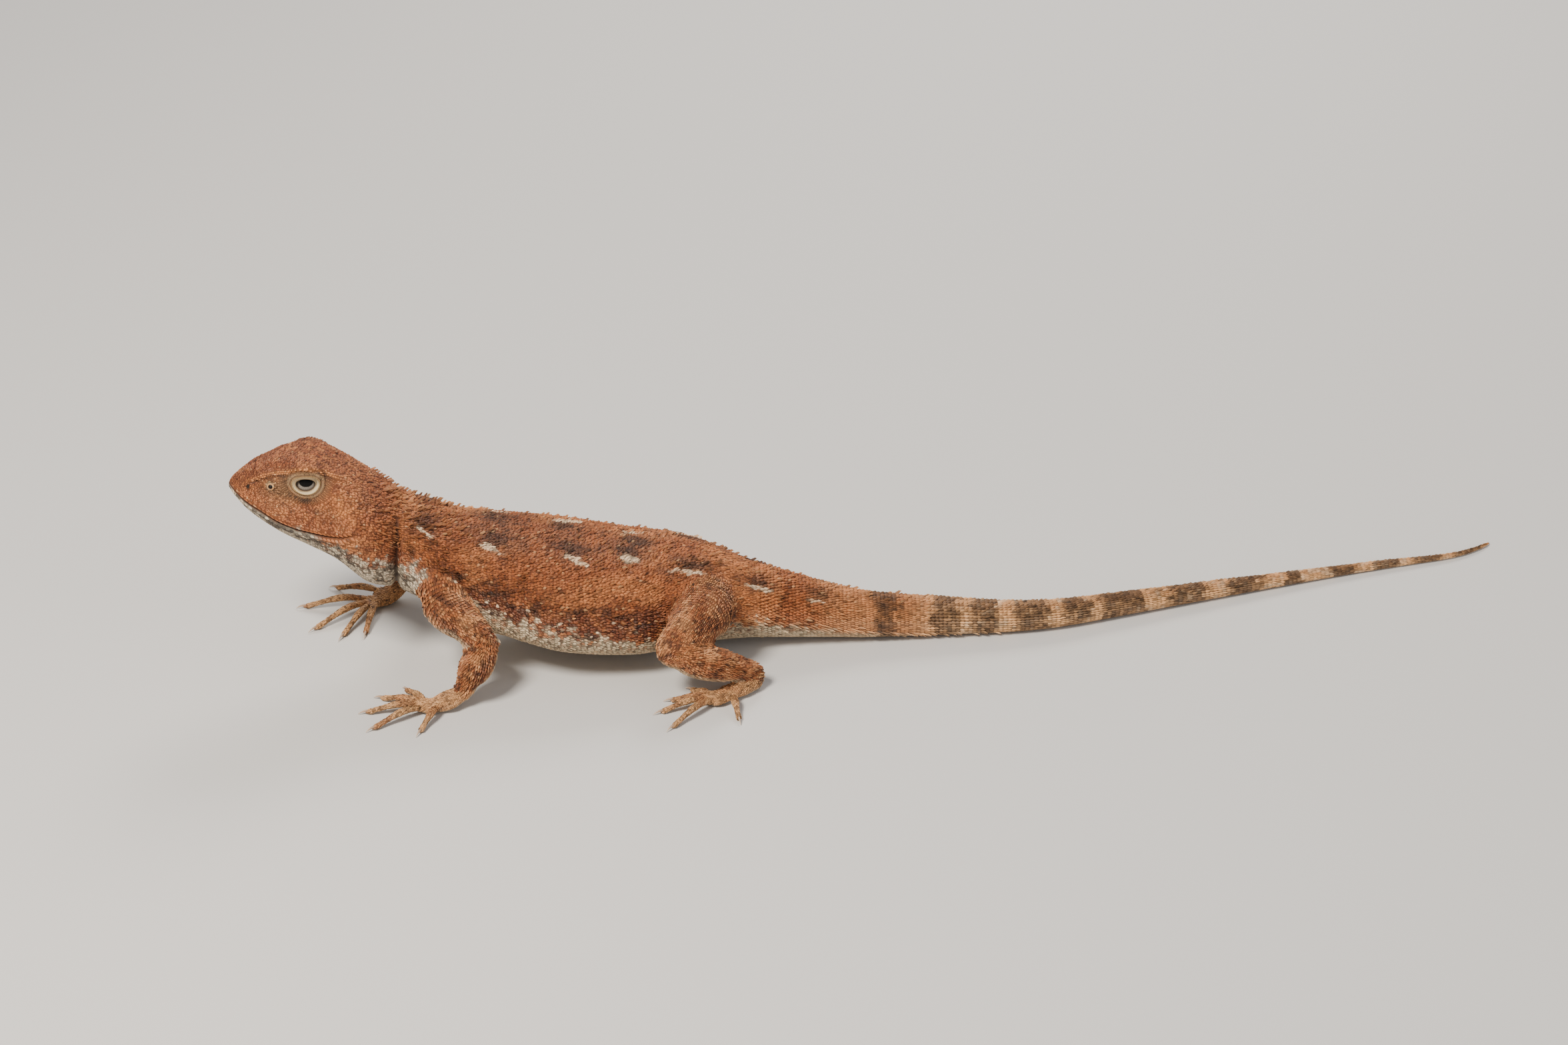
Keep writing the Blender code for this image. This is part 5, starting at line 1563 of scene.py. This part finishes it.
nostrils = [new_object(f"nostril_{name}", *nostril_ring(side)) for name, side in SIDES]


# %% [markdown]
# ## Claws
# Each toe ends in a thin curved claw. The cone follows a short arc that starts inside the toe and bends
# down to the floor.

# %% Claws
def claw(hand, number):
    """Rings along an arc that rises and comes down to the floor, with a radius shrinking to a point."""
    path, _ = digit_keys(hand, number, np.array([0.9, 1.0]))
    forward = unit(path[1] - path[0])
    forward[2] = 0.0
    forward = unit(forward)
    t = np.linspace(0, 1, 12)
    reach = -0.35 + t * (CLAW_LENGTH + 0.25)
    rise = 0.14 * np.sin(t * math.pi) + 0.12 * (1 - t)
    line = path[1] + forward * reach[:, None] + np.array([0.0, 0.0, 1.0]) * rise[:, None]
    line[:, 2] = np.maximum(line[:, 2] - 0.16 * t**2, 0.05)
    thick = 0.19 * (1 - t) ** 0.8 + 0.012
    rings = tube_points(line, thick * 0.75, thick, round_turn(10)[None, :])
    out, faces = loft_arrays(rings)
    share = np.concatenate([np.repeat(t, 10), [0.0, 1.0]])
    return out, faces, mix(np.tile(srgb(150, 112, 84), (len(out), 1)), srgb(214, 190, 164), share)


claws = []
for hand in DIGIT_TIPS:
    claw_points, claw_faces, claw_colours = zip(*(claw(hand, number) for number in range(5)))
    claw_faces = [faces + k * len(claw_points[0]) for k, faces in enumerate(claw_faces)]
    claws.append(new_object(f"claws_{hand}", *map(np.concatenate, (claw_points, claw_faces, claw_colours))))
print("claws on", len(claws), "hands and feet")


# %% [markdown]
# ## Materials
# Skin, scales, lids and claws all read the colour painted on their points. They differ in gloss and in the
# fine bump that breaks up their highlights. The eyes get a wet clear coat.

# %% Materials
def painted(name, roughness, bump, size, coat=0.0):
    """A material whose colour is the paint attribute, darkened a little by noise, with a noise bump."""
    material = bpy.data.materials.new(name)
    material.use_nodes = True
    nodes, links = material.node_tree.nodes, material.node_tree.links
    shader = nodes["Principled BSDF"]
    shader.inputs["Roughness"].default_value = roughness
    shader.inputs["Coat Weight"].default_value = coat
    shader.inputs["Coat Roughness"].default_value = 0.04
    shader.inputs["Specular IOR Level"].default_value = 0.30
    colour = nodes.new("ShaderNodeAttribute")
    colour.attribute_name = "paint"
    links.new(colour.outputs["Color"], shader.inputs["Base Color"])
    if bump:
        place_in = nodes.new("ShaderNodeTexCoord")
        noise = nodes.new("ShaderNodeTexNoise")
        noise.inputs["Scale"].default_value = size
        noise.inputs["Detail"].default_value = 4.0
        links.new(place_in.outputs["Object"], noise.inputs["Vector"])
        height = nodes.new("ShaderNodeBump")
        height.inputs["Strength"].default_value = bump
        height.inputs["Distance"].default_value = 0.0001
        links.new(noise.outputs["Fac"], height.inputs["Height"])
        links.new(height.outputs["Normal"], shader.inputs["Normal"])
    return material


skin_material = painted("skin", 0.75, 0.6, 4000.0)
scale_material = painted("scale", 0.58, 0.35, 6000.0)
lid_material = painted("lid", 0.62, 0.5, 6000.0)
claw_material = painted("claw", 0.4, 0.0, 1.0)
eye_material = painted("eye", 0.8, 0.0, 1.0, coat=0.12)
eye_material.node_tree.nodes["Principled BSDF"].inputs["Specular IOR Level"].default_value = 0.1
skin.data.materials.clear()
skin.data.materials.append(skin_material)
skin.data.polygons.foreach_set("material_index", np.zeros(len(skin.data.polygons), np.int32))
scales = [obj for obj, _ in coats]
for pieces, material in (
    (scales, scale_material),
    (lids + nostrils, lid_material),
    (claws, claw_material),
    (eyes, eye_material),
):
    for obj in pieces:
        obj.data.materials.append(material)

# %% [markdown]
# ## Floor and light
# A plain pale floor shows the outline without hiding the feet. One large soft lamp comes from the upper
# left and front, a weaker one fills the shadows from the right, and the world is pale.

# %% Floor, lamps and world
floor_mesh = bpy.data.meshes.new("floor")
floor_mesh.from_pydata([(-3, -3, 0), (3, -3, 0), (3, 3, 0), (-3, 3, 0)], [], [(0, 1, 2, 3)])
floor = bpy.data.objects.new("floor", floor_mesh)
bpy.context.scene.collection.objects.link(floor)
floor_material = bpy.data.materials.new("floor")
floor_material.use_nodes = True
floor_shader = floor_material.node_tree.nodes["Principled BSDF"]
floor_shader.inputs["Base Color"].default_value = (0.62, 0.59, 0.55, 1.0)
floor_shader.inputs["Roughness"].default_value = 0.9
floor_mesh.materials.append(floor_material)


def lamp(name, place_mm, size_mm, watts, colour):
    """An area lamp at a point in millimetres, turned to the animal's middle."""
    data = bpy.data.lights.new(name, "AREA")
    data.size = size_mm * MM
    data.energy = watts
    data.color = colour
    obj = bpy.data.objects.new(name, data)
    obj.location = Vector(np.array(place_mm) * MM)
    obj.rotation_euler = (Vector((0.0, 0.0, 0.008)) - obj.location).to_track_quat("-Z", "Y").to_euler()
    bpy.context.scene.collection.objects.link(obj)


lamp("key", (-170, -170, 300), 90, 2.0, (1.0, 0.95, 0.88))
lamp("fill", (260, -160, 140), 220, 0.30, (0.92, 0.95, 1.0))
lamp("rim", (60, 260, 220), 120, 0.7, (1.0, 0.98, 0.95))
world = bpy.data.worlds.new("world")
world.use_nodes = True
world.node_tree.nodes["Background"].inputs["Color"].default_value = (0.92, 0.94, 1.0, 1.0)
world.node_tree.nodes["Background"].inputs["Strength"].default_value = 0.42
bpy.context.scene.world = world

# %% [markdown]
# ## Tie every piece to the frame
# The skin stands for all the solids of flesh, and each eyeball for its own. Every piece rides on the one
# body, since nothing here moves.

# %% Riding on the one body
FLESH = ("head", "lower_jaw", "neck", "torso", "tail_base", "tail_middle", "tail_end", "tail_tip", *LIMBS)
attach(skin, "root")
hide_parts(*FLESH)
for obj, slot_name in coats:
    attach(obj, "root")
for obj in lids + nostrils:
    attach(obj, "root")
for obj in claws:
    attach(obj, "root")
for obj, node in zip(eyes, ("eye_left", "eye_right")):
    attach(obj, "root")
    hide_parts(node)

print("triangles:", sum(len(o.data.polygons) for o in [skin, *scales, *lids, *nostrils, *claws, *eyes]))
